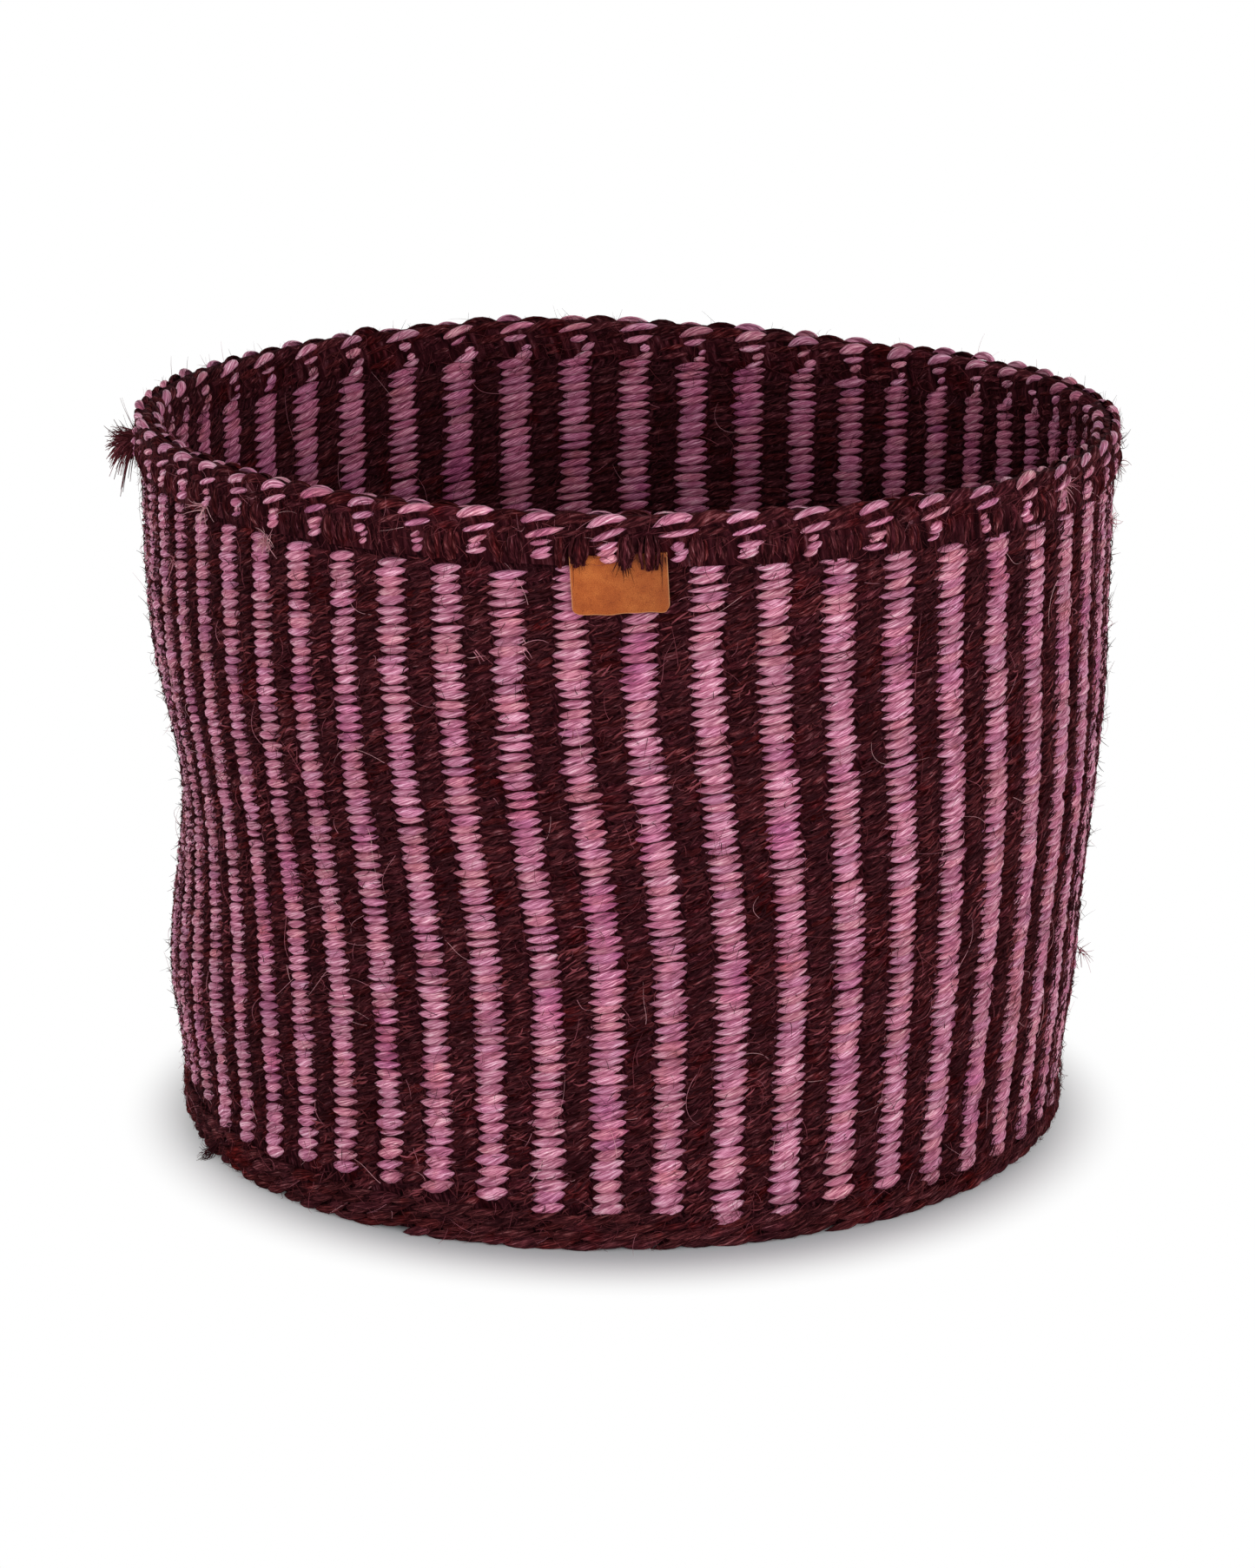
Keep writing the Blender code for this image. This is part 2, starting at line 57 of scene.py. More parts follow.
RNG = np.random.default_rng(20)

# In the values below, bare angles are in degrees and bare lengths in millimetres, unless a
# comment names another unit.

# Shape of the basket, as in the solids. Waves of the rim: angle, half width, height. Swells of
# the wall: angle, height, half width, half height, depth outwards. Waves of the columns'
# spacing: how many go round the basket, size, start
HEIGHT = 260 * MM
FOOT_RADIUS = 164.5 * MM
MOUTH_RADIUS = 176 * MM
FLARE_HEIGHT = 175 * MM
FOOT_SHIFT = 3.2 * MM
FOOT_SHIFT_ANGLE = math.radians(-35)
RIM_RISE = 1.8 * MM
RIM_RISE_ANGLE = math.radians(-120)
RIM_WAVES = ((-166, 26, 1.6), (148, 24, -2.6))
SWELLS = (
    (-88, 129, 34, 41, -9.5), (-80, 52, 30, 26, 3.0), (-38, 4, 24, 26, 3.0),
    (90, 52, 30, 24, 1.8), (20, 112, 26, 44, -2.5), (140, 130, 32, 46, -4.5),
    (-165, 92, 30, 40, 3.0),
)
PAIRS = 52
COLUMNS = 2 * PAIRS
COLUMN_PITCH = 2 * math.pi / COLUMNS
FIRST_COLUMN = math.radians(-2.6)
COLUMN_WAVES = ((1, 3.6, -169), (2, 3.8, -43))
COLUMN_LEAN = math.radians(4.1)
LEAN_TOP = 215 * MM
LEAN_FOOT = 80 * MM

# Wall: rows of floats, wider apart near the foot and closer above it: height, half height,
# share. The warps between the floats: foot, levels, depths. The uneven top of the plum foot:
# angle, height
ROW_PITCH = 3.26 * MM
INNER_ROW_PITCH = 3.44 * MM
ROW_SPREADS = ((0, 42, 0.40), (95, 50, -0.055))
WALL_TOP = 243.4 * MM
INNER_TOP = 246.6 * MM
WALL_DEPTH = 8.2 * MM
WARP_FOOT = 1.5 * MM
WARP_LEVELS = 28
WARP_DEPTH = (2.3 * MM, 5.9 * MM)
FOOT_TOPS = ((-180, 11.5), (-90, 13.0), (-15, 13.2), (0, 12.6), (6, 9.5), (35, 7.5), (60, 5.5),
             (110, 6.5), (180, 11.5))
FIRST_ROW_ABOVE_FOOT = 1.9 * MM
FIRST_ROW_UNEVEN = 1.2 * MM

# How much hand-made floats differ: in shares of their shape, in columns, or in length
LENGTH_SPREAD = 0.07
PLACE_SPREAD = 0.035
SLOPE_SPREAD = 0.16
CROWN_SPREAD = 0.2
WIDTH_SPREAD = 0.13
THICKNESS_SPREAD = 0.08
HEIGHT_SPREAD = 0.16 * MM
DEPTH_SPREAD = 0.2 * MM
HALF_FLOAT_SECTION = 112
THINNEST = 0.06 * MM

# Rim: where it stands on the wall, and its core's section: depth inwards, height
RIM_SEAT = 246 * MM
RIM_DEPTH = 7.6 * MM
RIM_CORE = (
    (-0.6, 242.6), (-0.8, 252), (-0.9, 256.6), (0.3, 258.6), (2.4, 259.2), (5.4, 257.6),
    (7.2, 252), (6.6, 246), (5.4, 242.6), (3, 242),
)

# Rows of the rim's stitches: height, shift in columns, how far they stand out of the face, and
# whether that is the outer one, 1, or the inner one, -1. Crescents lie over the top, a second row
# of arcs under them, and beads between upright cords. Half the length of beads, in columns
CRESCENTS = (256.5, 0, 1.9, 1)
INNER_CRESCENTS = (255.8, -0.06, 0.2, -1)
TOP_STRANDS = (257.4, -0.3, -1.6, 1)
ARCS = (253.6, 0.15, 2.6, 1)
DARK_ARCS = (253.6, 0.15, 2.0, 1)
BEAD_ROWS = ((250.0, 0.08, 2.3, 1), (247.9, 0.08, 2.3, 1), (245.8, 0.08, 2.3, 1))
BEAD_HALVES = (0.2, 0.31, 0.4)

# Stubs of the strands inside: height, shift and half their length in columns, and how far the
# pink and the plum ones stand out
STUBS = ((253.2, -0.1, 0.42), (249.6, -0.34, 0.24), (246.5, -0.24, 0.34))
STUB_OUT = 0.6
DARK_STUB_OUT = 0.4

# Cords: places and their strands in columns. Over the label they end higher: middle, reach
CORD_TOP = 253.4 * MM
CORD_FOOT = 242.4 * MM
CORD_LIFT_AT_LABEL = 2.2 * MM
CORD_LIFT_SPREAD = (math.radians(-2.2), math.radians(1.9))
CORD_SHIFTS = (-0.31, 0.31)
CORD_STRANDS = (-0.17, -0.085, 0.0, 0.085, 0.17)
CORD_BOW = 3.3 * MM
CORD_SIDE_DROP = 1.2 * MM
CORD_SEAT = 1.7 * MM
CORD_STRAND_WIDTH = 0.85 * MM
CORD_STRAND_THICKNESS = 0.9 * MM

# Foot and base: rounds of twining above and below a plate
FOOT_ROUND_HEIGHTS = (1.9 * MM, 5.1 * MM, 8.3 * MM, 11.5 * MM)
FOOT_PROUD = 0.6 * MM
BASE_TOP = 7 * MM
BASE_FOOT = 0.9 * MM
BASE_ROUND_PITCH = 4.3 * MM
BASE_MIDDLE = 6 * MM
BASE_EDGE = FOOT_RADIUS - 7.5 * MM
BASE_FLOAT_LENGTH = 9.5 * MM
HUB_RADIUS = 17 * MM
HUB_RISE = 0.8 * MM
PLATE_INSET = 4.6 * MM
PLATE_LOW = 1.6 * MM
PLATE_MIDDLE = 3.5 * MM
PLATE_HIGH = 6.4 * MM

# Loose fibres. Places where the yarn has frayed: column, height, fibres, length, tones
ABOVE_FLOOR = 0.1 * MM
FIBRE_SECTION = np.array((0.0, 2.0944, 4.18879))
WISP_LENGTH = 5 * MM
WISP_WIDTH = 0.26 * MM
RIM_TAIL_COLUMN = 78
RIM_TAIL_HEIGHT = 250 * MM
FOOT_TAIL_ANGLE = math.radians(-62)
FRAYS = (
    (28, 254, 30, 7, (0, 0.6)),
    (26, 250, 26, 6, (0.1, 0.7)),
    (24.7, 245, 20, 6, (0.4, 1)),
    (22.5, 229, 14, 6, (0.5, 1)),
    (17.2, 253, 30, 7, (0.8, 1)),
    (86, 221, 16, 6, (0.5, 1)),
    (88.8, 245, 16, 9, (0.92, 1)),
    (92.7, 239, 44, 6, (0.75, 1)),
    (101, 211, 4, 5, (0.8, 1)),
    (102.5, 215, 4, 9, (0.85, 1)),
    (24.2, 60, 18, 6, (0.5, 0.9)),
)
RIM_FRAYS = 60

# Leather label. Fringe over its top edge: distance across, fibres
LABEL_ANGLE = math.radians(-0.9)
LABEL_WIDTH = 31.5 * MM
LABEL_THICKNESS = 1.8 * MM
LABEL_DROP = 14.6 * MM
LABEL_TUCK = 5 * MM
LABEL_CORNER = 2.6 * MM
LABEL_TILT = math.radians(3.2)
LABEL_CREASE = 241.7 * MM
LABEL_BACK = 176.3 * MM
LABEL_EDGE_FALL = 0.32 * MM
LABEL_EDGE_REACH = 0.35 * MM
LABEL_SAG = 0.22 * MM
OVER_LABEL = 2.3 * MM
LABEL_FRINGE = ((-12.4, 16), (1.3, 26), (12.6, 16))
LABEL_FRINGE_HEIGHT = 246.5 * MM

# Colours, red, green and blue from 0 to 255. Tones and tints run along a ramp from 0 to 1. The
# darkest tones of the sisal are partly painted shade between its fibres, and the palest are
# partly painted highlights on them.
# Dyes are patches of a tone: scale, start and end of the patches, tone
PINK_TONES_WITH_PAINTED_LIGHT = ((0.33, (92, 32, 54)), (0.42, (158, 78, 107)), (0.5, (194, 118, 144)),
               (0.58, (226, 162, 184)), (0.67, (252, 222, 228)))
# A darker copy of the pink for the inside of the basket: painted shade
INNER_PINK_SHADED_TONES_WITH_PAINTED_LIGHT = ((0.33, (82, 26, 48)), (0.42, (144, 66, 94)), (0.5, (184, 104, 132)),
                     (0.58, (216, 148, 170)), (0.67, (244, 208, 214)))
PLUM_TONES_WITH_PAINTED_LIGHT = ((0.34, (25, 8, 11)), (0.44, (47, 16, 20)), (0.52, (67, 27, 32)),
               (0.6, (98, 46, 51)), (0.7, (146, 100, 106)))
# A darker copy of the plum for the inside and the warps: painted shade
INNER_PLUM_SHADED_TONES_WITH_PAINTED_LIGHT = ((0.34, (18, 6, 8)), (0.44, (41, 14, 18)), (0.52, (61, 25, 30)),
                     (0.6, (89, 42, 47)), (0.7, (124, 80, 86)))
FOOT_TONES_WITH_PAINTED_LIGHT = ((0.34, (27, 9, 12)), (0.44, (47, 18, 22)), (0.52, (69, 31, 35)),
               (0.6, (105, 52, 56)), (0.7, (150, 104, 106)))
FIBRE_SHADES = ((0.0, (36, 13, 17)), (0.15, (50, 20, 25)), (0.35, (70, 32, 37)),
                (0.55, (112, 51, 55)), (0.75, (160, 84, 96)), (0.88, (206, 136, 150)),
                (1.0, (238, 186, 190)))
PINK_TINTS = ((0.0, (247, 237, 254)), (0.3, (255, 247, 255)), (0.7, (255, 251, 253)),
              (1.0, (255, 244, 236)))
# Darker, mauver tints of the inside pink: painted shade
INNER_PINK_SHADED_TINTS = ((0.0, (247, 230, 252)), (1.0, (255, 243, 244)))
PLUM_TINTS = ((0.0, (255, 240, 255)), (0.4, (255, 255, 255)), (0.8, (255, 240, 236)),
              (1.0, (255, 214, 206)))
PINK_DYES = ((38, 0.5, 0.72, (147, 115, 152)), (55, 0.52, 0.74, (150, 134, 124)))
PLUM_DYES = ((75, 0.5, 0.72, (180, 100, 96)),)
FOOT_DYES = ((60, 0.48, 0.7, (205, 98, 80)),)
LEATHER_SHADES = ((0.25, (150, 70, 25)), (0.5, (172, 88, 36)), (0.75, (190, 107, 50)))
LEATHER_CREASES = (205, 190, 180)
CUT_LEATHER = (205, 140, 92)

# Levels of the strands, from the darkest to the palest. Grain: how often the fibres change along
# the strand and across it, to the millimetre. How much they tilt, and how far apart the random
# numbers of the strands set them
PINK_LEVELS = (0.86, 1.14)
PLUM_LEVELS = (0.62, 1.36)
FOOT_LEVELS = (0.7, 1.2)
PINK_GRAIN = (0.15, 1.25)
PLUM_GRAIN = (0.22, 0.9)
FOOT_GRAIN = (0.16, 1.2)
STREAK_TILT = 24
FOOT_STREAK_TILT = 14
SEED_REACH = 61.0

# Floor: its radius and where the shadow round the foot fades into white, in metres, and its
# greys there and further out. The grey near the foot is a painted shadow, darker and a little
# cool against the pink light that the basket throws, and further out the floor glows white to
# the camera
FLOOR_RADIUS = 6
SHADOW_FADE = (0.147, 0.189)
SHADOW_CENTRE = (-1 * MM, -20 * MM)
FLOOR_PAINTED_SHADOW_GREY = (228, 231, 234)
FLOOR_OPEN = (245, 245, 245)

# Light: strength of the sky at the horizon and overhead, and the slopes between which it falls.
# Lamps: name, place and size in metres, power in watts. They aim at one place, in metres
SKY_AT_HORIZON = 1.08
SKY_OVERHEAD = 0.24
SKY_SLOPES = (0.1, 0.66)
LAMPS = (("key", (0.85, -1.35, 0.64), 0.8, 9.5), ("fill", (-1.15, -1.2, 0.42), 0.9, 6.0))
LAMP_AIM = (0, 0, 0.13)

# Camera, fitted to the photograph's view of the rim and the foot. Its place is in metres
CAMERA_PLACE = (0.0, -1.4538, 0.5432)
CAMERA_PITCH = math.radians(16.337)
CAMERA_LENS = 93.37
SENSOR_WIDTH = 36


@dataclass
class Stitch:
    """Shape of one float, in millimetres, with half its length in columns."""

    half: float  # half its length
    wide: float  # half its height
    thick: float  # half its thickness
    rise: float  # how far it climbs from its middle to its end
    dive: float  # how deep its ends dive
    sink: float = 0.0  # how deep it lies
    point: float = 1.8  # how blunt it is
    crown: float = -0.25  # how much its middle stands above its ends
    pass_in: float = 0.0  # how far it passes inwards
    up: float = 0.0  # how much it faces up
    fuller: float = 0.0  # how much longer it is at the front
    steps: int = 7  # points along it
    sides: int = 5  # points round it


PINK_FLOAT = Stitch(0.575, 1.8, 1.6, 1.05, 2.0, point=1.85, fuller=0.12, steps=8, sides=6)
PLUM_FLOAT = Stitch(0.58, 1.7, 1.35, 1.6, 1.7, sink=0.75, point=1.9)
INNER_PINK = Stitch(0.60, 2.0, 1.4, 1.3, 1.9, point=2.3)
INNER_PLUM = Stitch(0.56, 1.8, 1.1, 1.4, 1.6, sink=0.6, steps=6, sides=4)
CRESCENT = Stitch(0.66, 1.5, 1.5, 1.3, 2.0, point=3, crown=2.5, pass_in=0.8, up=0.4,
                  steps=15, sides=8)
INNER_CRESCENT = Stitch(0.66, 1.8, 1.5, 1.5, 2.0, point=2.6, crown=2.0, pass_in=0.8, up=0.4,
                        steps=13, sides=7)
DARK_CRESCENT = Stitch(0.78, 1.95, 1.4, 1.3, 1.6, sink=0.3, point=2.4, crown=2.1, pass_in=0.8,
                       up=0.4, steps=11, sides=7)
TOP_STRAND = Stitch(0.80, 1.7, 1.3, 0.0, 0.0, point=2.6, crown=0.7, pass_in=1.8, up=4.0,
                    steps=9, sides=6)
ARC = Stitch(0.61, 1.05, 1.4, 1.7, 2.2, point=3.0, crown=0.3, steps=13, sides=7)
DARK_ARC = Stitch(0.68, 1.3, 1.3, 1.4, 2.2, point=2.0, crown=0.5, steps=11, sides=6)
FOOT_FLOAT = Stitch(0.76, 1.75, 1.5, 1.3, 1.2, point=2.1, steps=9, sides=7)


def smooth(share):
    """A ramp from 0 to 1 that starts and ends level."""
    share = np.clip(share, 0, 1)
    return share * share * (3 - 2 * share)


def turned(angle):
    """An angle brought between minus and plus half a turn."""
    return (angle + math.pi) % (2 * math.pi) - math.pi


def wall_radius(angle, height):
    """Radius of the wall's outer face, flare and swells included."""
    radius = FOOT_RADIUS + (MOUTH_RADIUS - FOOT_RADIUS) * smooth(height / FLARE_HEIGHT)
    for centre, level, half_width, half_height, depth in SWELLS:
        across = turned(angle - math.radians(centre)) / math.radians(half_width)
        along = (height - level * MM) / (half_height * MM)
        radius = radius + depth * MM * np.exp(-across * across - along * along)
    return radius


def wall_face(angle, height, facing):
    """Radius of the wall's outer face or, with facing -1, of its inner one."""
    radius = wall_radius(angle, height)
    return radius - WALL_DEPTH if facing < 0 else radius


def rim_radius(angle):
    """Radius of the wall's face where the rim stands on it."""
    return wall_radius(angle, RIM_SEAT)


def foot_face(angle, height):
    """Radius at which the rounds of the foot lie."""
    return wall_radius(angle, height) + FOOT_PROUD


def column_angle(column, height):
    """Angle at which a place counted in columns stands at a height."""
    even = FIRST_COLUMN + column * COLUMN_PITCH
    shift = sum(
        math.radians(size) * np.sin(count * even + math.radians(start))
        for count, size, start in COLUMN_WAVES
    )
    facing = (1 + np.cos(even)) / 2
    fall = 1 - smooth((height - LEAN_FOOT) / (LEAN_TOP - LEAN_FOOT))
    return even + shift + COLUMN_LEAN * facing * facing * fall


def rim_rise(angle):
    """How far the rim stands above or below its even height."""
    rise = RIM_RISE * np.cos(angle - RIM_RISE_ANGLE)
    for centre, half_width, height in RIM_WAVES:
        across = turned(angle - math.radians(centre)) / math.radians(half_width)
        rise = rise + height * MM * np.exp(-across * across)
    return rise


def place(angle, radius, height):
    """Points at angles, radii and heights, on the leaning basket."""
    lean = FOOT_SHIFT * (1 - height / HEIGHT) ** 2
    return np.stack((
        lean * math.sin(FOOT_SHIFT_ANGLE) + radius * np.sin(angle),
        -lean * math.cos(FOOT_SHIFT_ANGLE) - radius * np.cos(angle),
        height + rim_rise(angle) * height / HEIGHT,
    ), axis=-1)


def outwards(angle):
    """Level directions away from the basket's axis at angles."""
    return np.stack((np.sin(angle), -np.cos(angle), np.zeros_like(angle)), axis=-1)


def patches(column, height):
    """Values between 0 and 1 that change slowly over the wall, a few floats at a time."""
    first = np.sin(2.1 * column + height / (13 * MM))
    second = np.sin(0.7 * column - height / (21 * MM) + 1)
    return 0.5 + 0.5 * first * second


def unit(vectors):
    """The same directions with a length of 1."""
    return vectors / np.maximum(np.linalg.norm(vectors, axis=-1, keepdims=True), 1e-12)


def spread(size, count):
    """Random values with a mean of 0 and a typical size, one to a strand."""
    return RNG.normal(0, size, (count, 1))


def sweep(path, out, wide, thick, turns, tube=False, seed=None):
    """Surfaces of strands round their paths. Each strand has a section at each point of its
    path, which faces out. The note at each vertex holds the millimetres along and across the
    strand, and a random number for the strand, for the materials."""
    count, steps, _ = path.shape
    corners = len(turns)
    ahead = unit(np.gradient(path, axis=1))
    side = unit(np.cross(ahead, out))
    face = np.cross(side, ahead)
    wide = np.broadcast_to(wide, (count, steps))[..., None, None]
    thick = np.broadcast_to(thick, (count, steps))[..., None, None]
    points = (
        path[:, :, None, :]
        + thick * np.cos(turns)[:, None] * face[:, :, None, :]
        + wide * np.sin(turns)[:, None] * side[:, :, None, :]
    )
    points[..., 2] = np.maximum(points[..., 2], ABOVE_FLOOR)
    lengths = np.linalg.norm(np.diff(path, axis=1), axis=-1)
    along = np.concatenate((np.zeros((count, 1)), np.cumsum(lengths, axis=1)), axis=1)
    if seed is None:
        seed = RNG.random(count)
    notes = np.zeros((count, steps, corners, 3))
    notes[..., 0] = along[:, :, None] / MM
    notes[..., 1] = np.max(wide) * turns / MM
    notes[..., 2] = seed[:, None, None]
    rings = corners if tube else corners - 1
    i, j = np.meshgrid(np.arange(steps - 1), np.arange(rings), indexing="ij")
    here, beside = i.ravel() * corners, (j.ravel() + 1) % corners
    j = j.ravel()
    quads = np.stack((here + j, here + beside, here + corners + beside, here + corners + j), -1)
    starts = np.arange(count)[:, None, None] * steps * corners
    return points, notes, starts + quads


def piece(name, bundles, finish, nodes=(), body="basket"):
    """One object from bundles of points, notes and faces, riding on a body."""
    points, notes, faces = [], [], []
    start = 0
    for some_points, some_notes, some_faces in bundles:
        points.append(some_points.reshape(-1, 3))
        notes.append(some_notes.reshape(-1, 3))
        faces.append(some_faces.reshape(-1, 4) + start)
        start += len(points[-1])
    points, notes, faces = (np.concatenate(parts) for parts in (points, notes, faces))
    mesh = bpy.data.meshes.new(name)
    mesh.vertices.add(len(points))
    mesh.vertices.foreach_set("co", points.ravel())
    mesh.loops.add(faces.size)
    mesh.loops.foreach_set("vertex_index", faces.ravel().astype(np.int32))
    mesh.polygons.add(len(faces))
    mesh.polygons.foreach_set("loop_start", np.arange(0, faces.size, 4, dtype=np.int32))
    mesh.update(calc_edges=True)
    mesh.shade_smooth()
    strand = mesh.attributes.new("strand", "FLOAT_VECTOR", "POINT")
    strand.data.foreach_set("vector", notes.ravel())
    mesh.materials.append(finish)
    made = bpy.data.objects.new(name, mesh)
    bpy.context.scene.collection.objects.link(made)
    if body:
        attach(made, body)
    if nodes:
        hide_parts(*nodes)
    return made


def stitches(shape, columns, heights, facing=1, radius=None, messy=1.0):
    """Floats at places counted in columns, facing out of the basket or, with -1, into it. They
    lie on the wall, unless a radius is given for each angle."""
    count = len(columns)
    columns = np.asarray(columns, float)[:, None]
    heights = np.asarray(heights, float)[:, None]
    u = np.sin(np.linspace(-1, 1, shape.steps) * math.pi / 2)
    front = np.maximum(np.cos(column_angle(columns, heights)), 0)
    size = (1 + spread(LENGTH_SPREAD * messy, count)) * (1 + shape.fuller * front)
    size = size * (0.93 + 0.14 * patches(columns * 1.7, heights))
    column = columns + spread(PLACE_SPREAD * messy, count) + u * shape.half * size
    steeper = 0.7 + 0.6 * patches(columns * 3.1 + 2, heights * 0.8)
    slope = shape.rise * MM * (steeper + spread(SLOPE_SPREAD * messy, count)) * facing
    crown = shape.crown * MM * (1 + spread(CROWN_SPREAD * messy, count))
    height = heights + spread(HEIGHT_SPREAD * messy, count) + slope * u + crown * (1 - u * u)
    angle = column_angle(column, height)
    face = radius(angle) if radius else wall_face(angle, height, facing)
    depth = shape.thick * MM + shape.sink * MM + shape.dive * MM * np.abs(u) ** 2.4
    depth = depth + facing * shape.pass_in * MM * u + spread(DEPTH_SPREAD * messy, count)
    path = place(angle, face - facing * depth, height)
    leaf = 1 - np.abs(u) ** shape.point
    full = shape.wide * MM * (1 if radius else row_share(heights))
    wide = np.maximum(full * leaf * (1 + spread(WIDTH_SPREAD * messy, count)), THINNEST)
    rounded = 0.35 + 0.65 * (1 - u * u)
    thick = shape.thick * MM * rounded * (1 + spread(THICKNESS_SPREAD * messy, count))
    turns = np.radians(np.linspace(-HALF_FLOAT_SECTION, HALF_FLOAT_SECTION, shape.sides))
    out = unit(facing * outwards(angle) + shape.up * np.array((0, 0, 1.0)))
    return sweep(path, out, wide, thick, turns)


def foot_top(angle):
    """Height at which the columns start above the plum foot."""
    degrees, tops = zip(*FOOT_TOPS)
    return np.interp(np.degrees(turned(angle)), degrees, tops) * MM


def row_share(height):
    """How far apart the rows stand at a height, against their usual pitch."""
    return 1 + sum(
        share * np.exp(-((height - level * MM) / (half_height * MM)) ** 2)
        for level, half_height, share in ROW_SPREADS
    )


def row_heights(pitch, top):
    """Heights of the rows of twining, from the top of the wall down."""
    heights = [top - pitch / 2]
    while heights[-1] > 0:
        heights.append(heights[-1] - pitch * row_share(heights[-1]))
    return heights


def wall_places(first, low, pitch=ROW_PITCH, top=WALL_TOP):
    """Columns and heights of every float at each second column, in rows that spiral up."""
    levels = row_heights(pitch, top)
    rows = np.arange(len(levels) - 1)
    column, row = np.meshgrid(np.arange(first, COLUMNS, 2), rows, indexing="ij")
    wander = 0.35 * MM * np.sin(column * 0.9 + row * 0.31) + 0.3 * MM * np.sin(column * 2.3)
    height = np.interp(row + column / COLUMNS, np.arange(len(levels)), levels) + wander
    column, height = column.ravel(), height.ravel()
    uneven = FIRST_ROW_UNEVEN * np.sin(2.7 * column)
    kept = height > low(column_angle(column, height)) + FIRST_ROW_ABOVE_FOOT + uneven
    return column[kept], height[kept]


def halves(columns, heights):
    """The floats on one half of the wall, and on the other."""
    for part in range(2):
        inside = (columns * 2 // COLUMNS).astype(int) == part
        yield columns[inside], heights[inside]


def node(tree, kind, inputs=(), **settings):
    """A shader node. Each input is a value, or the output of a node that leads there."""
    made = tree.nodes.new(kind)
    for name, value in settings.items():
        setattr(made, name, value)
    for socket, value in dict(inputs).items():
        if isinstance(value, bpy.types.NodeSocket):
            tree.links.new(value, made.inputs[socket])
        else:
            made.inputs[socket].default_value = value
    return made


def material(name, roughness, specular):
    """A new material, its nodes and its shader."""
    made = bpy.data.materials.new(name)
    made.use_nodes = True
    shader = made.node_tree.nodes["Principled BSDF"]
    shader.inputs["Roughness"].default_value = roughness
    shader.inputs["Specular IOR Level"].default_value = specular
    return made, made.node_tree, shader


def noise(tree, vector, scale, detail, roughness):
    """Soft noise from 0 to 1."""
    return node(tree, "ShaderNodeTexNoise", {
        "Vector": vector, "Scale": scale, "Detail": detail, "Roughness": roughness,
    }).outputs["Fac"]


def srgb(code):
    """Linear values of a colour written as red, green and blue from 0 to 255."""
    return tuple(
        value / 255 / 12.92 if value / 255 <= 0.04045 else ((value / 255 + 0.055) / 1.055) ** 2.4
        for value in code
    )


def ramp(tree, factor, stops):
    """Colours along a factor from 0 to 1."""
    made = node(tree, "ShaderNodeValToRGB", {"Fac": factor})
    band = made.color_ramp
    while len(band.elements) < len(stops):
        band.elements.new(0.5)
    for element, (position, colour) in zip(band.elements, stops):
        element.position = position
        element.color = (*srgb(colour), 1)
    return made.outputs["Color"]


def mixed(tree, factor, first, second, blend="MIX"):
    """Two colours mixed. Each is a plain colour or comes from another node."""
    made = node(tree, "ShaderNodeMix", {"Factor": factor}, data_type="RGBA", blend_type=blend)
    for socket, value in (("A", first), ("B", second)):
        target = [s for s in made.inputs if s.name == socket and s.type == "RGBA"][0]
        if isinstance(value, tuple):
            target.default_value = (*srgb(value), 1)
        else:
            tree.links.new(value, target)
    return [s for s in made.outputs if s.type == "RGBA"][0]


def scaled(tree, value, low, high, to_low=0.0, to_high=1.0):
    """A value brought from one range to another, level at both ends."""
    return node(tree, "ShaderNodeMapRange", {
        "Value": value, "From Min": low, "From Max": high, "To Min": to_low, "To Max": to_high,
    }, interpolation_type="SMOOTHSTEP").outputs["Result"]


def maths(tree, operation, *values):
    """The result of an operation on numbers or outputs of nodes."""
    inputs = dict(enumerate(values))
    return node(tree, "ShaderNodeMath", inputs, operation=operation).outputs["Value"]


def brightened(tree, colour, factor):
    """A colour made paler or darker by a factor."""
    inputs = {0: colour, "Scale": factor}
    return node(tree, "ShaderNodeVectorMath", inputs, operation="SCALE").outputs["Vector"]


def strand_note(tree):
    """The three values of the note that each vertex holds."""
    strand = node(tree, "ShaderNodeAttribute", attribute_name="strand")
    parts = node(tree, "ShaderNodeSeparateXYZ", {"Vector": strand.outputs["Vector"]})
    return [parts.outputs[axis] for axis in "XYZ"]


def relief(tree, shader, height, strength, distance):
    """Fine relief under the light, from a height."""
    bump = node(tree, "ShaderNodeBump", {
        "Height": height, "Strength": strength, "Distance": distance,
    })
    tree.links.new(bump.outputs["Normal"], shader.inputs["Normal"])


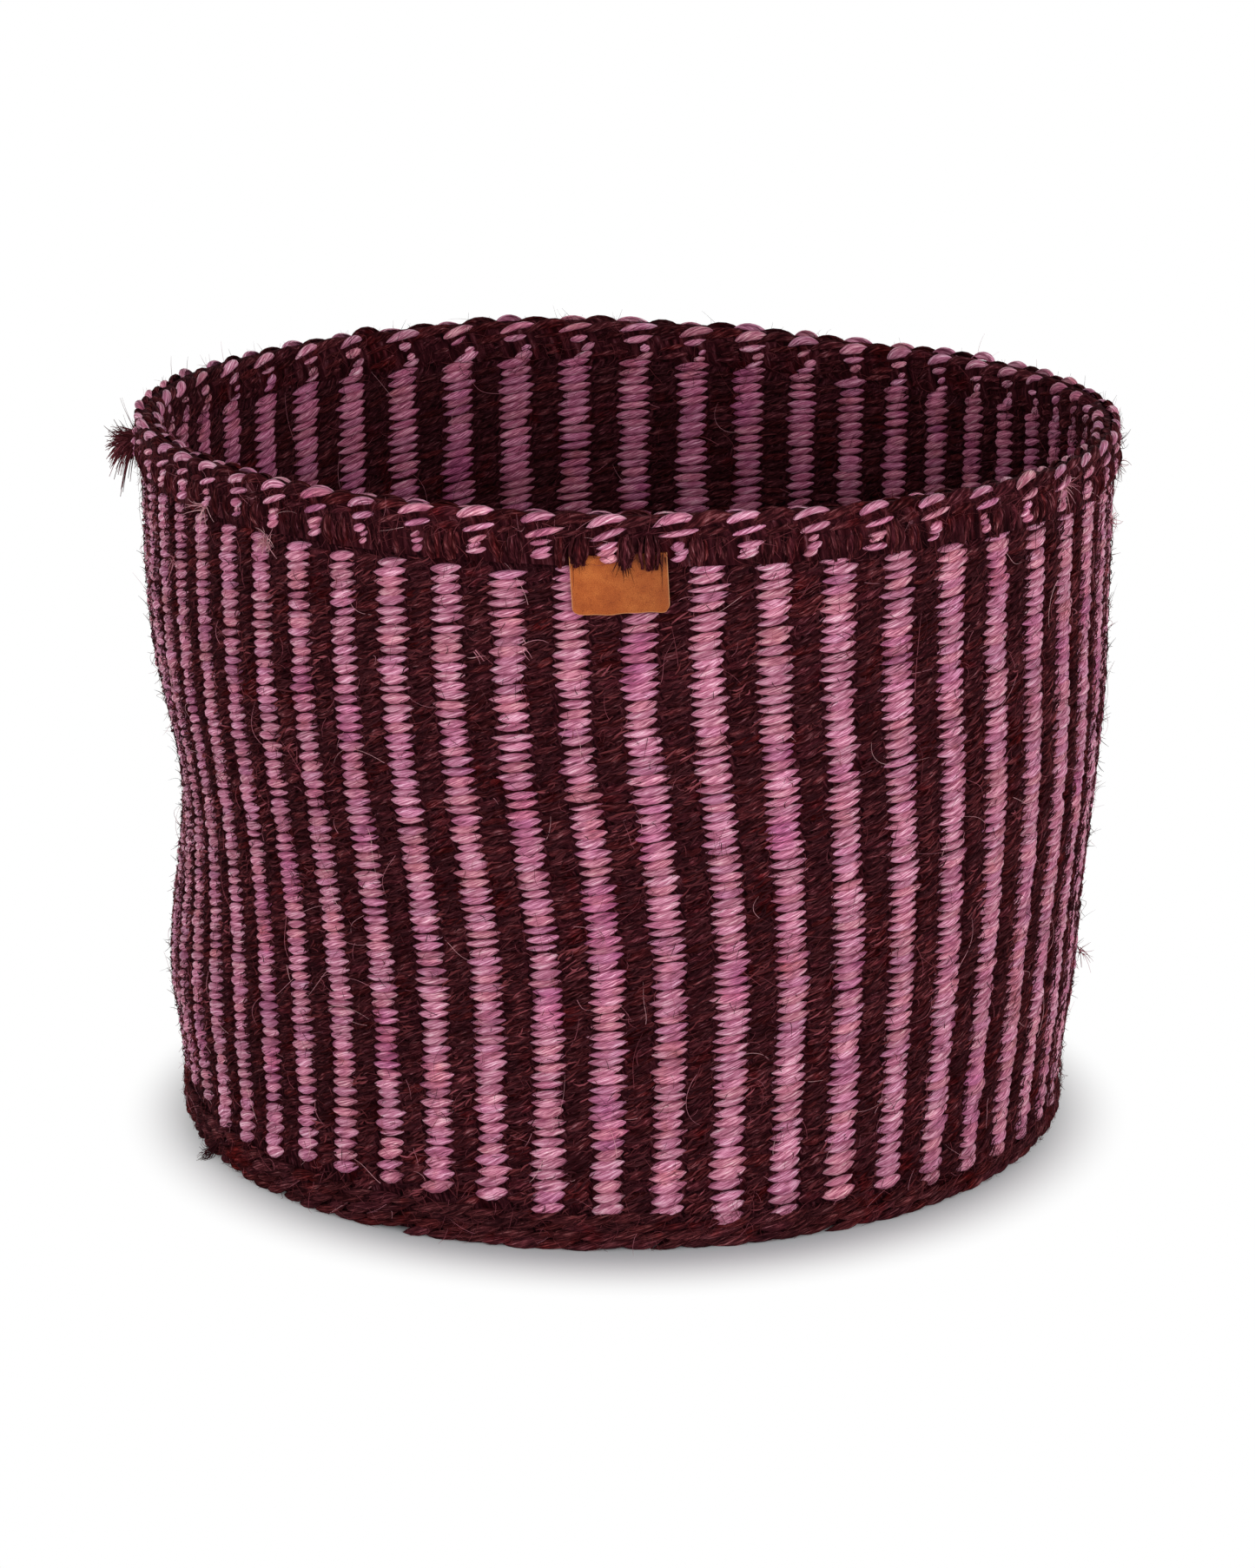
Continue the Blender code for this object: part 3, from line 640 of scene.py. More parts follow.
def sisal(name, tones_with_painted_light, dyes, tints, levels, grain, roughness, specular, tilt=STREAK_TILT):
    """Dyed sisal: twisted fibres that slant across the strand. The dyes are patches of other
    tones, and each strand has a tint and a level of its own. The darkest and palest tones of the
    ramp are partly painted shade between the fibres and painted highlights on them."""
    made, tree, shader = material(name, roughness, specular)
    along, across, seed = strand_note(tree)
    shift = maths(tree, "MULTIPLY", seed, SEED_REACH)
    flat = node(tree, "ShaderNodeCombineXYZ", {"X": along, "Y": across, "Z": shift})
    turn = node(tree, "ShaderNodeVectorRotate", {
        "Vector": flat.outputs["Vector"], "Angle": math.radians(tilt),
    }, rotation_type="Z_AXIS")
    stretch = node(tree, "ShaderNodeVectorMath", {
        0: turn.outputs["Vector"], 1: (*grain, 1.0),
    }, operation="MULTIPLY")
    fibres = noise(tree, stretch.outputs["Vector"], 1.0, 5.0, 0.65)
    where = node(tree, "ShaderNodeTexCoord").outputs["Object"]
    # Fibre tones: partly painted shade at the darkest, and painted highlights at the palest
    colour = ramp(tree, fibres, tones_with_painted_light)
    for scale, low, high, tone in dyes:
        amount = scaled(tree, noise(tree, where, scale, 3.0, 0.65), low, high, 0.0, 0.75)
        colour = mixed(tree, amount, colour, mixed(tree, 1.0, colour, tone, "OVERLAY"))
    tint = ramp(tree, maths(tree, "FRACT", shift), tints)
    colour = mixed(tree, 1.0, colour, tint, "MULTIPLY")
    colour = brightened(tree, colour, scaled(tree, seed, 0.0, 1.0, *levels))
    tree.links.new(colour, shader.inputs["Base Color"])
    rough = scaled(tree, fibres, 0.3, 0.75, roughness + 0.12, roughness - 0.12)
    tree.links.new(rough, shader.inputs["Roughness"])
    relief(tree, shader, fibres, 0.9, 0.35 * MM)
    return made


def leather():
    """Smooth tan leather with fine creases and a paler cut edge, paler on the left and darker on
    the right. The note at each vertex holds the millimetres to the edge, and its share of the way
    to the right."""
    made, tree, shader = material("tan_leather", 0.5, 0.2)
    where = node(tree, "ShaderNodeTexCoord").outputs["Object"]
    clouds = noise(tree, where, 160, 4.0, 0.6)
    colour = ramp(tree, clouds, LEATHER_SHADES)
    pores = node(tree, "ShaderNodeTexVoronoi", {"Vector": where, "Scale": 1900},
                 feature="DISTANCE_TO_EDGE")
    whole = scaled(tree, pores.outputs["Distance"], 0.0, 0.12)
    creased = mixed(tree, 1.0, colour, LEATHER_CREASES, "MULTIPLY")
    colour = mixed(tree, whole, creased, colour)
    to_edge, to_right, _ = strand_note(tree)
    colour = mixed(tree, scaled(tree, to_edge, 0.05, 0.45), CUT_LEATHER, colour)
    # Paler on the left and darker on the right
    colour = brightened(tree, colour, scaled(tree, to_right, -1, 1, 1.12, 0.84))
    tree.links.new(colour, shader.inputs["Base Color"])
    tree.links.new(scaled(tree, clouds, 0.3, 0.7, 0.42, 0.6), shader.inputs["Roughness"])
    relief(tree, shader, whole, 0.25, 0.08 * MM)
    return made


def loose_fibre():
    """Loose fibres of every dyed tone, one to a hair."""
    made, tree, shader = material("loose_fibre", 0.7, 0.01)
    tone = strand_note(tree)[2]
    tree.links.new(ramp(tree, tone, FIBRE_SHADES), shader.inputs["Base Color"])
    return made


def numbered(*shape):
    """Numbers of the vertices in rows round the basket, and of those in the next row."""
    index = np.arange(math.prod(shape)).reshape(shape)
    return index, np.roll(index, -1, axis=0)


def warps():
    """The layer of uprights between the outer and the inner floats, closed at both ends."""
    levels = np.linspace(WARP_FOOT, RIM_SEAT, WARP_LEVELS)
    column, height = np.meshgrid(np.arange(0, COLUMNS, 0.5), levels, indexing="ij")
    angle = column_angle(column, height)
    face = wall_radius(angle, height)
    points = np.stack([place(angle, face - depth, height) for depth in WARP_DEPTH], axis=2)
    notes = np.zeros(points.shape)
    notes[..., 0] = height[..., None] / MM
    notes[..., 1] = column[..., None] * 10
    index, after = numbered(*points.shape[:3])
    outer = np.stack((index[:, :-1, 0], after[:, :-1, 0], after[:, 1:, 0], index[:, 1:, 0]), -1)
    inner = np.stack((index[:, :-1, 1], index[:, 1:, 1], after[:, 1:, 1], after[:, :-1, 1]), -1)
    top = np.stack((index[:, -1, 0], after[:, -1, 0], after[:, -1, 1], index[:, -1, 1]), -1)
    foot = np.stack((index[:, 0, 0], index[:, 0, 1], after[:, 0, 1], after[:, 0, 0]), -1)
    faces = np.concatenate([part.reshape(-1, 4) for part in (outer, inner, top, foot)])
    return points, notes, faces


def rim_core():
    """The closed ring inside the rim, which the rim's strands cover."""
    angle = column_angle(np.arange(0, COLUMNS, 0.5), RIM_SEAT)
    points = np.stack([
        place(angle, rim_radius(angle) - depth * MM, height * MM) for depth, height in RIM_CORE
    ], axis=1)
    count, ring, _ = points.shape
    index, after = numbered(count, ring)
    faces = np.stack(
        (index, np.roll(index, -1, axis=1), np.roll(after, -1, axis=1), after), axis=-1
    )
    notes = np.zeros(points.shape)
    notes[..., 0] = np.arange(count)[:, None] * 5
    notes[..., 1] = np.arange(ring)
    return points, notes, faces


def from_label(angle):
    """Angles from the middle of the label."""
    return np.abs(turned(angle - LABEL_ANGLE))


def over_label(angle):
    """How far out the rim's finish rides where the leather lies behind it."""
    reach = LABEL_WIDTH / 2 / MOUTH_RADIUS
    return OVER_LABEL * (1 - smooth((from_label(angle) - reach) / (1.2 * COLUMN_PITCH)))


def off_label(angle, height, facing):
    """Whether the points of each strand all miss the label. Inside, all do."""
    reach = LABEL_WIDTH / 2 / MOUTH_RADIUS + 0.01
    low = LABEL_CREASE - LABEL_DROP - 2 * MM
    high = LABEL_CREASE + 1.5 * MM
    on = (from_label(angle) < reach) & (height > low) & (height < high)
    return ~on.any(axis=1) | (facing < 0)


def on_rim(shape, columns, row, messy=1.0):
    """Stitches in a row of the rim. Outside they ride over the label."""
    height, shift, out, facing = row

    def radius(angle):
        if facing < 0:
            return rim_radius(angle) - RIM_DEPTH - out * MM
        return rim_radius(angle) + over_label(angle) + out * MM

    heights = np.full(len(columns), height * MM)
    return stitches(shape, columns + shift, heights, facing, radius, messy)


def cords(columns):
    """Round upright cords of folded warp ends on the rim's outer face, each of curved strands
    that lie apart at its middle."""
    count = len(columns)
    u = np.linspace(0, 1, 9)
    bow = np.sin(np.clip(u, 0.08, 0.86) * math.pi)
    columns = columns[:, None] + spread(0.05, count)
    middle, reach = CORD_LIFT_SPREAD
    near = np.exp(-((turned(column_angle(columns, CORD_FOOT)) - middle) / reach) ** 2)
    top = CORD_TOP + spread(0.4 * MM, count)
    foot = CORD_FOOT + CORD_LIFT_AT_LABEL * near + spread(0.5 * MM, count)
    lean = spread(0.1, count)
    plump = 1 + spread(0.16, count)
    turns = np.radians(np.linspace(-115, 115, 5))
    bundles = []
    for strand in CORD_STRANDS:
        apart = strand * plump * (0.6 + 0.45 * bow) + spread(0.015, count)
        column = columns + apart + lean * (u - 0.5)
        height = top + (foot - top) * u + spread(0.3 * MM, count)
        angle = column_angle(column, height)
        drop = CORD_SIDE_DROP * (strand / CORD_STRANDS[-1]) ** 2
        out = CORD_BOW * bow ** 0.6 * plump - drop
        radius = rim_radius(angle) + over_label(angle) - CORD_SEAT + out
        radius = radius + spread(0.2 * MM, count)
        wide = CORD_STRAND_WIDTH * (0.4 + 0.6 * bow ** 0.5) * (1 + spread(0.2, count))
        path = place(angle, radius, height)
        bundles.append(sweep(path, outwards(angle), wide, CORD_STRAND_THICKNESS, turns))
    return bundles


def hairs(count, low, high, length, lift, width, steps, facing=1, face=None, tilt=(25, 45),
          free=True, tones=(0, 0.7)):
    """Loose fibres over the weave, raised at one end or, if they aren't free, in the middle.
    Length and lift are (typical, spread) and, like the width, in millimetres; the tilt is their
    usual slant up to the right and its spread, in degrees; the tones run from dark to pale."""
    s = np.linspace(0, 1, steps)
    start_angle = RNG.uniform(0, 2 * math.pi, (count, 1))
    start_height = RNG.uniform(low, high, (count, 1))
    reach = np.abs(RNG.normal(*np.multiply(length, MM), (count, 1))) + 2 * MM
    way = np.radians(tilt[0] + spread(tilt[1], count))
    way = way + math.pi * RNG.integers(0, 2, (count, 1))
    curl = spread(0.9, count)
    bend = way + curl * s + spread(0.22, count) * np.sin(s * 5)
    step = reach / (steps - 1)
    start = np.zeros((count, 1))
    level = np.concatenate((start, np.cumsum(np.cos(bend[:, 1:]) * step, 1)), 1)
    climb = np.concatenate((start, np.cumsum(np.sin(bend[:, 1:]) * step, 1)), 1)
    angle = start_angle + facing * level / MOUTH_RADIUS
    height = np.clip(start_height + climb, 0.6 * MM, None)
    raised = np.abs(RNG.normal(*np.multiply(lift, MM), (count, 1)))
    raised = raised * (s ** 1.6 if free else np.sin(s * math.pi))
    surface = face(angle, height) if face else wall_face(angle, height, facing)
    path = place(angle, surface + facing * (raised - 0.3 * MM), height)
    thin = width * MM * (1 - 0.7 * s ** 2) * (1 + 0.25 * RNG.random((count, 1)))
    kept = off_label(angle, height, facing)
    out = facing * outwards(angle)
    seed = RNG.uniform(*tones, count)[kept]
    return sweep(path[kept], out[kept], thin[kept], thin[kept], FIBRE_SECTION, True, seed)


def wisps(count, first, low, tilt, palest, facing=1):
    """Short bundles of fibre that slant up to the right over the floats of one colour. Their
    tones are dark, and paler in patches."""
    u = np.linspace(-1, 1, 4)
    column = first + 2 * RNG.integers(0, PAIRS, (count, 1)) + RNG.uniform(-0.4, 0.4, (count, 1))
    height = RNG.uniform(low, WALL_TOP, (count, 1))
    tone = palest * RNG.random(count) * (0.3 + 0.7 * patches(column, height)[:, 0])
    way = np.radians(tilt) * (1 + spread(0.5, count))
    reach = WISP_LENGTH / 2 * (1 + spread(0.3, count))
    bend = spread(0.5 * MM, count) * (1 - u * u)
    level = reach * u * np.cos(way) - bend * np.sin(way)
    angle = column_angle(column, height) + facing * level / MOUTH_RADIUS
    height = height + reach * u * np.sin(way) + bend * np.cos(way)
    raised = (0.3 * MM + np.abs(spread(0.3 * MM, count))) * (1 - u * u) - 0.8 * MM
    path = place(angle, wall_face(angle, height, facing) + facing * raised, height)
    wide = WISP_WIDTH * (1 - 0.8 * u * u) * (1 + 0.4 * RNG.random((count, 1)))
    kept = off_label(angle, height, facing)
    out = facing * outwards(angle)
    turns = np.radians((-100, 0, 100))
    return sweep(path[kept], out[kept], wide[kept], wide[kept], turns, seed=tone[kept])


def tuft(angle, radius, height, count, length, droop, fan, width, tones, dip=0.0):
    """A frayed yarn end that fans out from a place on the weave, level or dipping. Its length
    and the width of its fibres are in millimetres."""
    s = np.linspace(0, 1, 6)
    along = length * MM * (0.5 + 0.5 * RNG.random((count, 1)))
    lift = RNG.normal(-dip, fan, (count, 1))
    fan = spread(fan, count)
    curl = spread(0.35, count)
    out = radius + along * s * np.cos(fan) * np.cos(lift)
    side = angle + spread(0.8 * MM, count) / radius + along * s * np.sin(fan) / radius
    up = height + spread(0.8 * MM, count)
    up = up + along * s * (np.sin(lift) - droop * s + curl * s * s)
    path = place(side, out, np.clip(up, 0.5 * MM, None))
    thin = width * MM * (1 - 0.75 * s) * (0.6 + 0.4 * RNG.random((count, 1)))
    upwards = np.broadcast_to(np.array((0, 0, 1.0)), path.shape)
    return sweep(path, upwards, thin, thin, FIBRE_SECTION, True, RNG.uniform(*tones, count))


def base_rounds(height, up):
    """Rounds of twining that cover the base, seen from above with up 1, from below with -1."""
    bundles = []
    rounds = int((BASE_EDGE - BASE_MIDDLE) / BASE_ROUND_PITCH)
    u = np.linspace(-1, 1, 6)
    turns = np.radians(np.linspace(-105, 105, 4))
    for number in range(rounds):
        radius = BASE_MIDDLE + (number + 0.5) * (BASE_EDGE - BASE_MIDDLE) / rounds
        count = max(6, int(2 * math.pi * radius / BASE_FLOAT_LENGTH))
        step = 2 * math.pi / count
        start = RNG.random() * step
        angle = (start + np.arange(count) * step)[:, None] + u * step * 0.66
        slant = up * 0.8 * MM * u
        dome = HUB_RISE * smooth((HUB_RADIUS - radius) / HUB_RADIUS) * (up > 0)
        rise = height + dome + up * (0.5 * MM - 1.5 * MM * np.abs(u) ** 2.2)
        rise = rise + spread(0.12 * MM, count)
        path = place(angle, radius + slant, np.maximum(rise, BASE_FOOT))
        wide = 2.35 * MM * (1 - np.abs(u) ** 2.2) ** 0.7 + 0.1 * MM
        thick = 0.85 * MM * (0.5 + 0.5 * (1 - u * u))
        out = np.broadcast_to(np.array((0, 0, float(up))), path.shape)
        bundles.append(sweep(path, out, wide[None], thick[None], turns))
    return bundles


def base_plate():
    """The layer inside the base, between its upper and its lower rounds."""
    angle = np.linspace(0, 2 * math.pi, 97)[:-1]
    edge = wall_radius(angle, PLATE_MIDDLE) - PLATE_INSET
    rings = ((0.1 * MM, PLATE_LOW), (edge - 0.5 * MM, PLATE_LOW), (edge, PLATE_MIDDLE),
             (edge, PLATE_HIGH), (0.1 * MM, PLATE_HIGH))
    points = np.stack([place(angle, radius, height) for radius, height in rings], axis=1)
    index, after = numbered(*points.shape[:2])
    faces = np.stack((index[:, :-1], after[:, :-1], after[:, 1:], index[:, 1:]), axis=-1)
    return points, np.zeros_like(points), faces


def label_spot(across, up, above):
    """Points of the bent label, from distances on the flat leather measured from its crease."""
    level = across * math.cos(LABEL_TILT) - up * math.sin(LABEL_TILT)
    climb = across * math.sin(LABEL_TILT) + up * math.cos(LABEL_TILT)
    return place(LABEL_ANGLE + level / LABEL_BACK, LABEL_BACK + above, LABEL_CREASE + climb)


def label(finish):
    """The leather label: one bent sheet with rounded lower corners and softened edges."""
    half = LABEL_WIDTH / 2
    straight = half - LABEL_CORNER
    corner = half - LABEL_CORNER * (1 - np.sin(np.linspace(0, math.pi / 2, 7)))
    middle = np.linspace(-straight, straight, 25)[1:-1]
    across = np.concatenate((-corner[::-1], middle, corner))
    inset = np.maximum(np.abs(across) - straight, 0)
    low = LABEL_CORNER - np.sqrt(np.maximum(LABEL_CORNER ** 2 - inset ** 2, 0)) - LABEL_DROP
    wave = 0.18 * MM * np.sin(across * 310) + 0.12 * MM * np.sin(across * 730 + 1)
    share = np.concatenate(((0, 0.012, 0.04), np.linspace(0.09, 1, 22)))
    x = np.broadcast_to(across[:, None], (len(across), len(share)))
    bottom = (low + wave * (np.abs(across) < half - 1 * MM))[:, None]
    y = bottom + (LABEL_TUCK - bottom) * share
    to_edge = np.minimum(half - np.abs(x), (y - bottom) + 0.05 * MM)
    soft = LABEL_EDGE_FALL * np.exp(-to_edge / LABEL_EDGE_REACH)
    sag = LABEL_SAG * np.sin(x * 95 + 0.6) * smooth(-y / LABEL_DROP)
    front = label_spot(x, y, LABEL_THICKNESS - 0.25 * MM + sag - soft)
    back = label_spot(x, y, sag)
    f, b = np.arange(2 * x.size).reshape(2, *x.shape)

    def strip(one, two):
        return np.stack((one[:-1], one[1:], two[1:], two[:-1]), -1).reshape(-1, 4)

    faces = np.concatenate((
        strip(f[:, :-1], f[:, 1:]),
        np.stack((b[:-1, :-1], b[:-1, 1:], b[1:, 1:], b[1:, :-1]), -1).reshape(-1, 4),
        strip(b[:, 0], f[:, 0]),
        strip(f[:, -1], b[:, -1]),
        strip(b[-1], f[-1]),
        strip(f[0], b[0]),
    ))
    points = np.concatenate((front.reshape(-1, 3), back.reshape(-1, 3)))
    notes = np.zeros_like(points)
    notes[:to_edge.size, 0] = to_edge.ravel() / MM
    notes[:to_edge.size, 1] = x.ravel() / half
    made = piece("leather_label", [(points, notes, faces)], finish,
                 ["label_tuck", "label_flap"], body=None)
    made.data.set_sharp_from_angle(angle=math.radians(40))
    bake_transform(made)


def build_wall(pink, plum, painted_shade_inner_pink, painted_shade_inner_plum):
    for dye, first, shape, finish in (
        ("pink", 0, PINK_FLOAT, pink), ("plum", 1, PLUM_FLOAT, plum),
    ):
        for number, (columns, heights) in enumerate(halves(*wall_places(first, foot_top))):
            piece(f"{dye}_outer_floats_{number + 1}", [stitches(shape, columns, heights)],
                  finish, [f"{dye}_weft"])
    # The inner floats take darker copies of the yarns: painted shade inside the basket
    for dye, first, shape, finish, top in (
        ("pink", 1, INNER_PINK, painted_shade_inner_pink, INNER_TOP),
        ("plum", 0, INNER_PLUM, painted_shade_inner_plum, WALL_TOP),
    ):
        places = wall_places(first, lambda angle: BASE_TOP, INNER_ROW_PITCH, top)
        piece(f"{dye}_inner_floats", [stitches(shape, *places, -1)], finish)
    # The warps take the darker inner plum: painted shade between the layers
    piece("warps", [warps()], painted_shade_inner_plum, ["warp_wall"])


def build_rim(pink, plum):
    odd = np.arange(1, COLUMNS, 2).astype(float)
    even = odd - 1
    piece("rim_bundle", [rim_core()], plum, ["rim_core"])
    piece("rim_twist_pink_yarn", [
        on_rim(CRESCENT, odd, CRESCENTS), on_rim(INNER_CRESCENT, odd, INNER_CRESCENTS),
    ], pink, ["rim_twist_pink"])
    piece("rim_twist_plum_yarn", [
        on_rim(DARK_CRESCENT, even, CRESCENTS), on_rim(DARK_CRESCENT, even, INNER_CRESCENTS),
        on_rim(TOP_STRAND, even, TOP_STRANDS), on_rim(TOP_STRAND, odd, TOP_STRANDS),
    ], plum, ["rim_twist_plum"])
    light_yarn = [on_rim(ARC, odd, ARCS)]
    for height, shift, half in STUBS:
        stub = Stitch(half, 1.5, 1.3, 1.2, 1.6, point=2.4, sides=6)
        light_yarn.append(on_rim(stub, odd, (height, shift, STUB_OUT, -1), messy=1.8))
    sorts = RNG.integers(0, len(BEAD_HALVES), PAIRS)
    for number, half in enumerate(BEAD_HALVES):
        bead = Stitch(half, 1.25, 1.9, 0.8, 1.3, point=3, steps=9, sides=7)
        for row in BEAD_ROWS:
            light_yarn.append(on_rim(bead, odd[sorts == number], row, messy=1.6))
    piece("rim_side_pink_yarn", light_yarn, pink, ["rim_side_strand"])
    dark_yarn = [on_rim(DARK_ARC, even, DARK_ARCS)]
    for height, shift, _ in STUBS:
        dark_yarn.append(on_rim(DARK_ARC, even, (height, shift, DARK_STUB_OUT, -1), messy=1.8))
    for shift in CORD_SHIFTS:
        dark_yarn.extend(cords(even + shift))
    piece("rim_cords", dark_yarn, plum, ["rim_band"])


def build_foot(finish):
    rounds = []
    for number, height in enumerate(FOOT_ROUND_HEIGHTS):
        columns = np.arange(COLUMNS) + 0.5 * number + 0.25
        kept = height < foot_top(column_angle(columns, height)) + 1.2 * MM
        rounds.append(stitches(
            FOOT_FLOAT, columns[kept], np.full(kept.sum(), height), 1,
            lambda angle, level=height: foot_face(angle, level), messy=1.7,
        ))
    piece("foot_twining", rounds, finish, ["foot_round_1", "foot_round_2"])
    piece("base_inside", base_rounds(BASE_TOP, 1), finish, ["base_disc"])
    below = [*base_rounds(BASE_FOOT, -1), base_plate()]
    piece("base_below", below, finish, ["base_hub"])


def build_fuzz(fibre):
    for number in range(2):
        piece(f"fuzz_outside_wisps_{number + 1}", [wisps(9000, 1, 8 * MM, 26, 0.74)],
              fibre)
    piece("fuzz_outside_fine", [
        hairs(5000, 12 * MM, WALL_TOP, (4, 2), (0.4, 0.4), 0.07, 4,
              tones=(0, 0.8)),
    ], fibre)
    piece("fuzz_outside_long", [
        hairs(700, 4 * MM, WALL_TOP, (12, 6), (1.2, 1.2), 0.07, 10,
              tilt=(15, 60), free=False, tones=(0.4, 1)),
        hairs(800, 4 * MM, WALL_TOP, (6, 4), (2.4, 1.8), 0.07, 8,
              tilt=(10, 70), tones=(0.1, 1)),
        hairs(3200, 4 * MM, WALL_TOP, (1, 1.5), (1.8, 0.8), 0.13, 4,
              tilt=(10, 60), tones=(0, 0.6)),
    ], fibre)
    piece("fuzz_foot", [
        hairs(2600, 1 * MM, 13 * MM, (3.5, 2), (0.6, 0.6), 0.08, 5,
              face=foot_face, tilt=(12, 35), tones=(0.1, 0.64)),
        hairs(90, 2 * MM, 13 * MM, (8, 4), (2, 2), 0.07, 10,
              face=foot_face, tones=(0.5, 0.9)),
    ], fibre)
    piece("fuzz_inside", [
        wisps(5000, 0, 12 * MM, 20, 0.55, facing=-1),
        hairs(2000, 12 * MM, WALL_TOP, (5, 3), (0.5, 0.5), 0.08, 5,
              facing=-1),
        hairs(350, 12 * MM, WALL_TOP, (14, 6), (1.5, 1.5), 0.09, 10,
              facing=-1, tilt=(10, 60), free=False, tones=(0.3, 0.95)),
    ], fibre)

    def finish_face(angle, height):
        return rim_radius(angle) + over_label(angle) + 1.5 * MM

    piece("fuzz_rim", [
        hairs(1300, 243.5 * MM, 253 * MM, (5, 2), (0.9, 0.6), 0.1, 5,
              face=finish_face, tilt=(88, 26), tones=(0, 0.62)),
        hairs(1000, 250 * MM, 256.5 * MM, (5, 2), (0.8, 0.6), 0.09, 5,
              face=finish_face, tilt=(15, 22)),
        hairs(1500, 240 * MM, 256 * MM, (5, 3), (0.8, 0.6), 0.1, 5,
              facing=-1, tilt=(15, 35), tones=(0, 0.6)),
        hairs(120, 246 * MM, 256 * MM, (9, 5), (1.8, 1.4), 0.07, 9,
              face=finish_face, tilt=(20, 50), tones=(0.2, 1)),
    ], fibre)


def build_tails(fibre):
    angle = float(column_angle(RIM_TAIL_COLUMN, RIM_SEAT))
    out = float(rim_radius(angle)) + 0.8 * MM
    piece("rim_tuft", [
        tuft(angle, out, RIM_TAIL_HEIGHT, 210, 12.5, 0.2, 0.4, 0.55, (0.36, 0.7),
             dip=0.35),
        tuft(angle, out, RIM_TAIL_HEIGHT, 26, 13, -0.1, 0.7, 0.2, (0.1, 0.6)),
    ], fibre, ["rim_tail"])
    out = float(wall_radius(FOOT_TAIL_ANGLE, 2 * MM))
    piece("foot_tuft", [
        tuft(FOOT_TAIL_ANGLE, out, 5 * MM, 44, 9, 0.2, 0.14, 0.3, (0.1, 0.4), dip=0.55),
    ], fibre, ["foot_tail"])
    frays = []
    for column, level, count, length, tones in FRAYS:
        height = level * MM
        angle = float(column_angle(column, height))
        out = float(wall_radius(angle, height)) + 1 * MM
        frays.append(tuft(angle, out, height, count, length, 0.2, 1.1, 0.24, tones))
    for _ in range(RIM_FRAYS):
        angle = RNG.uniform(-math.pi, math.pi)
        height = RNG.uniform(250 * MM, 258 * MM)
        tone = RNG.uniform(0, 0.75)
        frays.append(tuft(angle, float(rim_radius(angle)) + 0.5 * MM, height, 7, 5, -0.3,
                          1.0, 0.12, (tone, tone + 0.2)))
    for across, count in LABEL_FRINGE:
        frays.append(tuft(LABEL_ANGLE + across * MM / LABEL_BACK, LABEL_BACK + LABEL_THICKNESS,
                          LABEL_FRINGE_HEIGHT, count, 5.5, 0.2, 0.35, 0.25, (0, 0.3), dip=1.2))
    piece("frays", frays, fibre)


def seen_directly(tree):
    """1 for rays from the camera and for mirrored and refracted ones, and otherwise 0."""
    rays = node(tree, "ShaderNodeLightPath").outputs
    total = rays["Is Camera Ray"]
    for ray in ("Is Glossy Ray", "Is Transmission Ray"):
        total = maths(tree, "MAXIMUM", total, rays[ray])
    return total


def floor():
    """A white floor that keeps the basket's shadow and fades into the white background. Near the
    foot its colour is a darker grey, a painted shadow, and further out it glows white to the
    camera.
    """
    bpy.ops.mesh.primitive_circle_add(vertices=96, radius=FLOOR_RADIUS, fill_type="NGON")
    made = bpy.context.object
    made.name = "floor"
    shade, tree, shader = material("floor", 0.9, 0.0)
    glow = node(tree, "ShaderNodeEmission", {"Strength": 1.0})
    where = node(tree, "ShaderNodeTexCoord").outputs["Object"]
    shifted = node(tree, "ShaderNodeVectorMath", {
        0: where, 1: (-SHADOW_CENTRE[0], -SHADOW_CENTRE[1], 0),
    }, operation="ADD")
    far = node(tree, "ShaderNodeVectorMath", {0: shifted.outputs["Vector"]}, operation="LENGTH")
    fade = scaled(tree, far.outputs["Value"], *SHADOW_FADE)
    # A darker, cool grey near the foot: painted shadow under the basket
    tree.links.new(mixed(tree, fade, FLOOR_PAINTED_SHADOW_GREY, FLOOR_OPEN), shader.inputs["Base Color"])
    # Further out the floor glows white to the camera, which cuts the real shadow off
    mix = node(tree, "ShaderNodeMixShader", {
        "Fac": maths(tree, "MULTIPLY", fade, seen_directly(tree)),
        1: shader.outputs["BSDF"], 2: glow.outputs["Emission"],
    })
    tree.links.new(mix.outputs["Shader"], tree.nodes["Material Output"].inputs["Surface"])
    made.data.materials.append(shade)


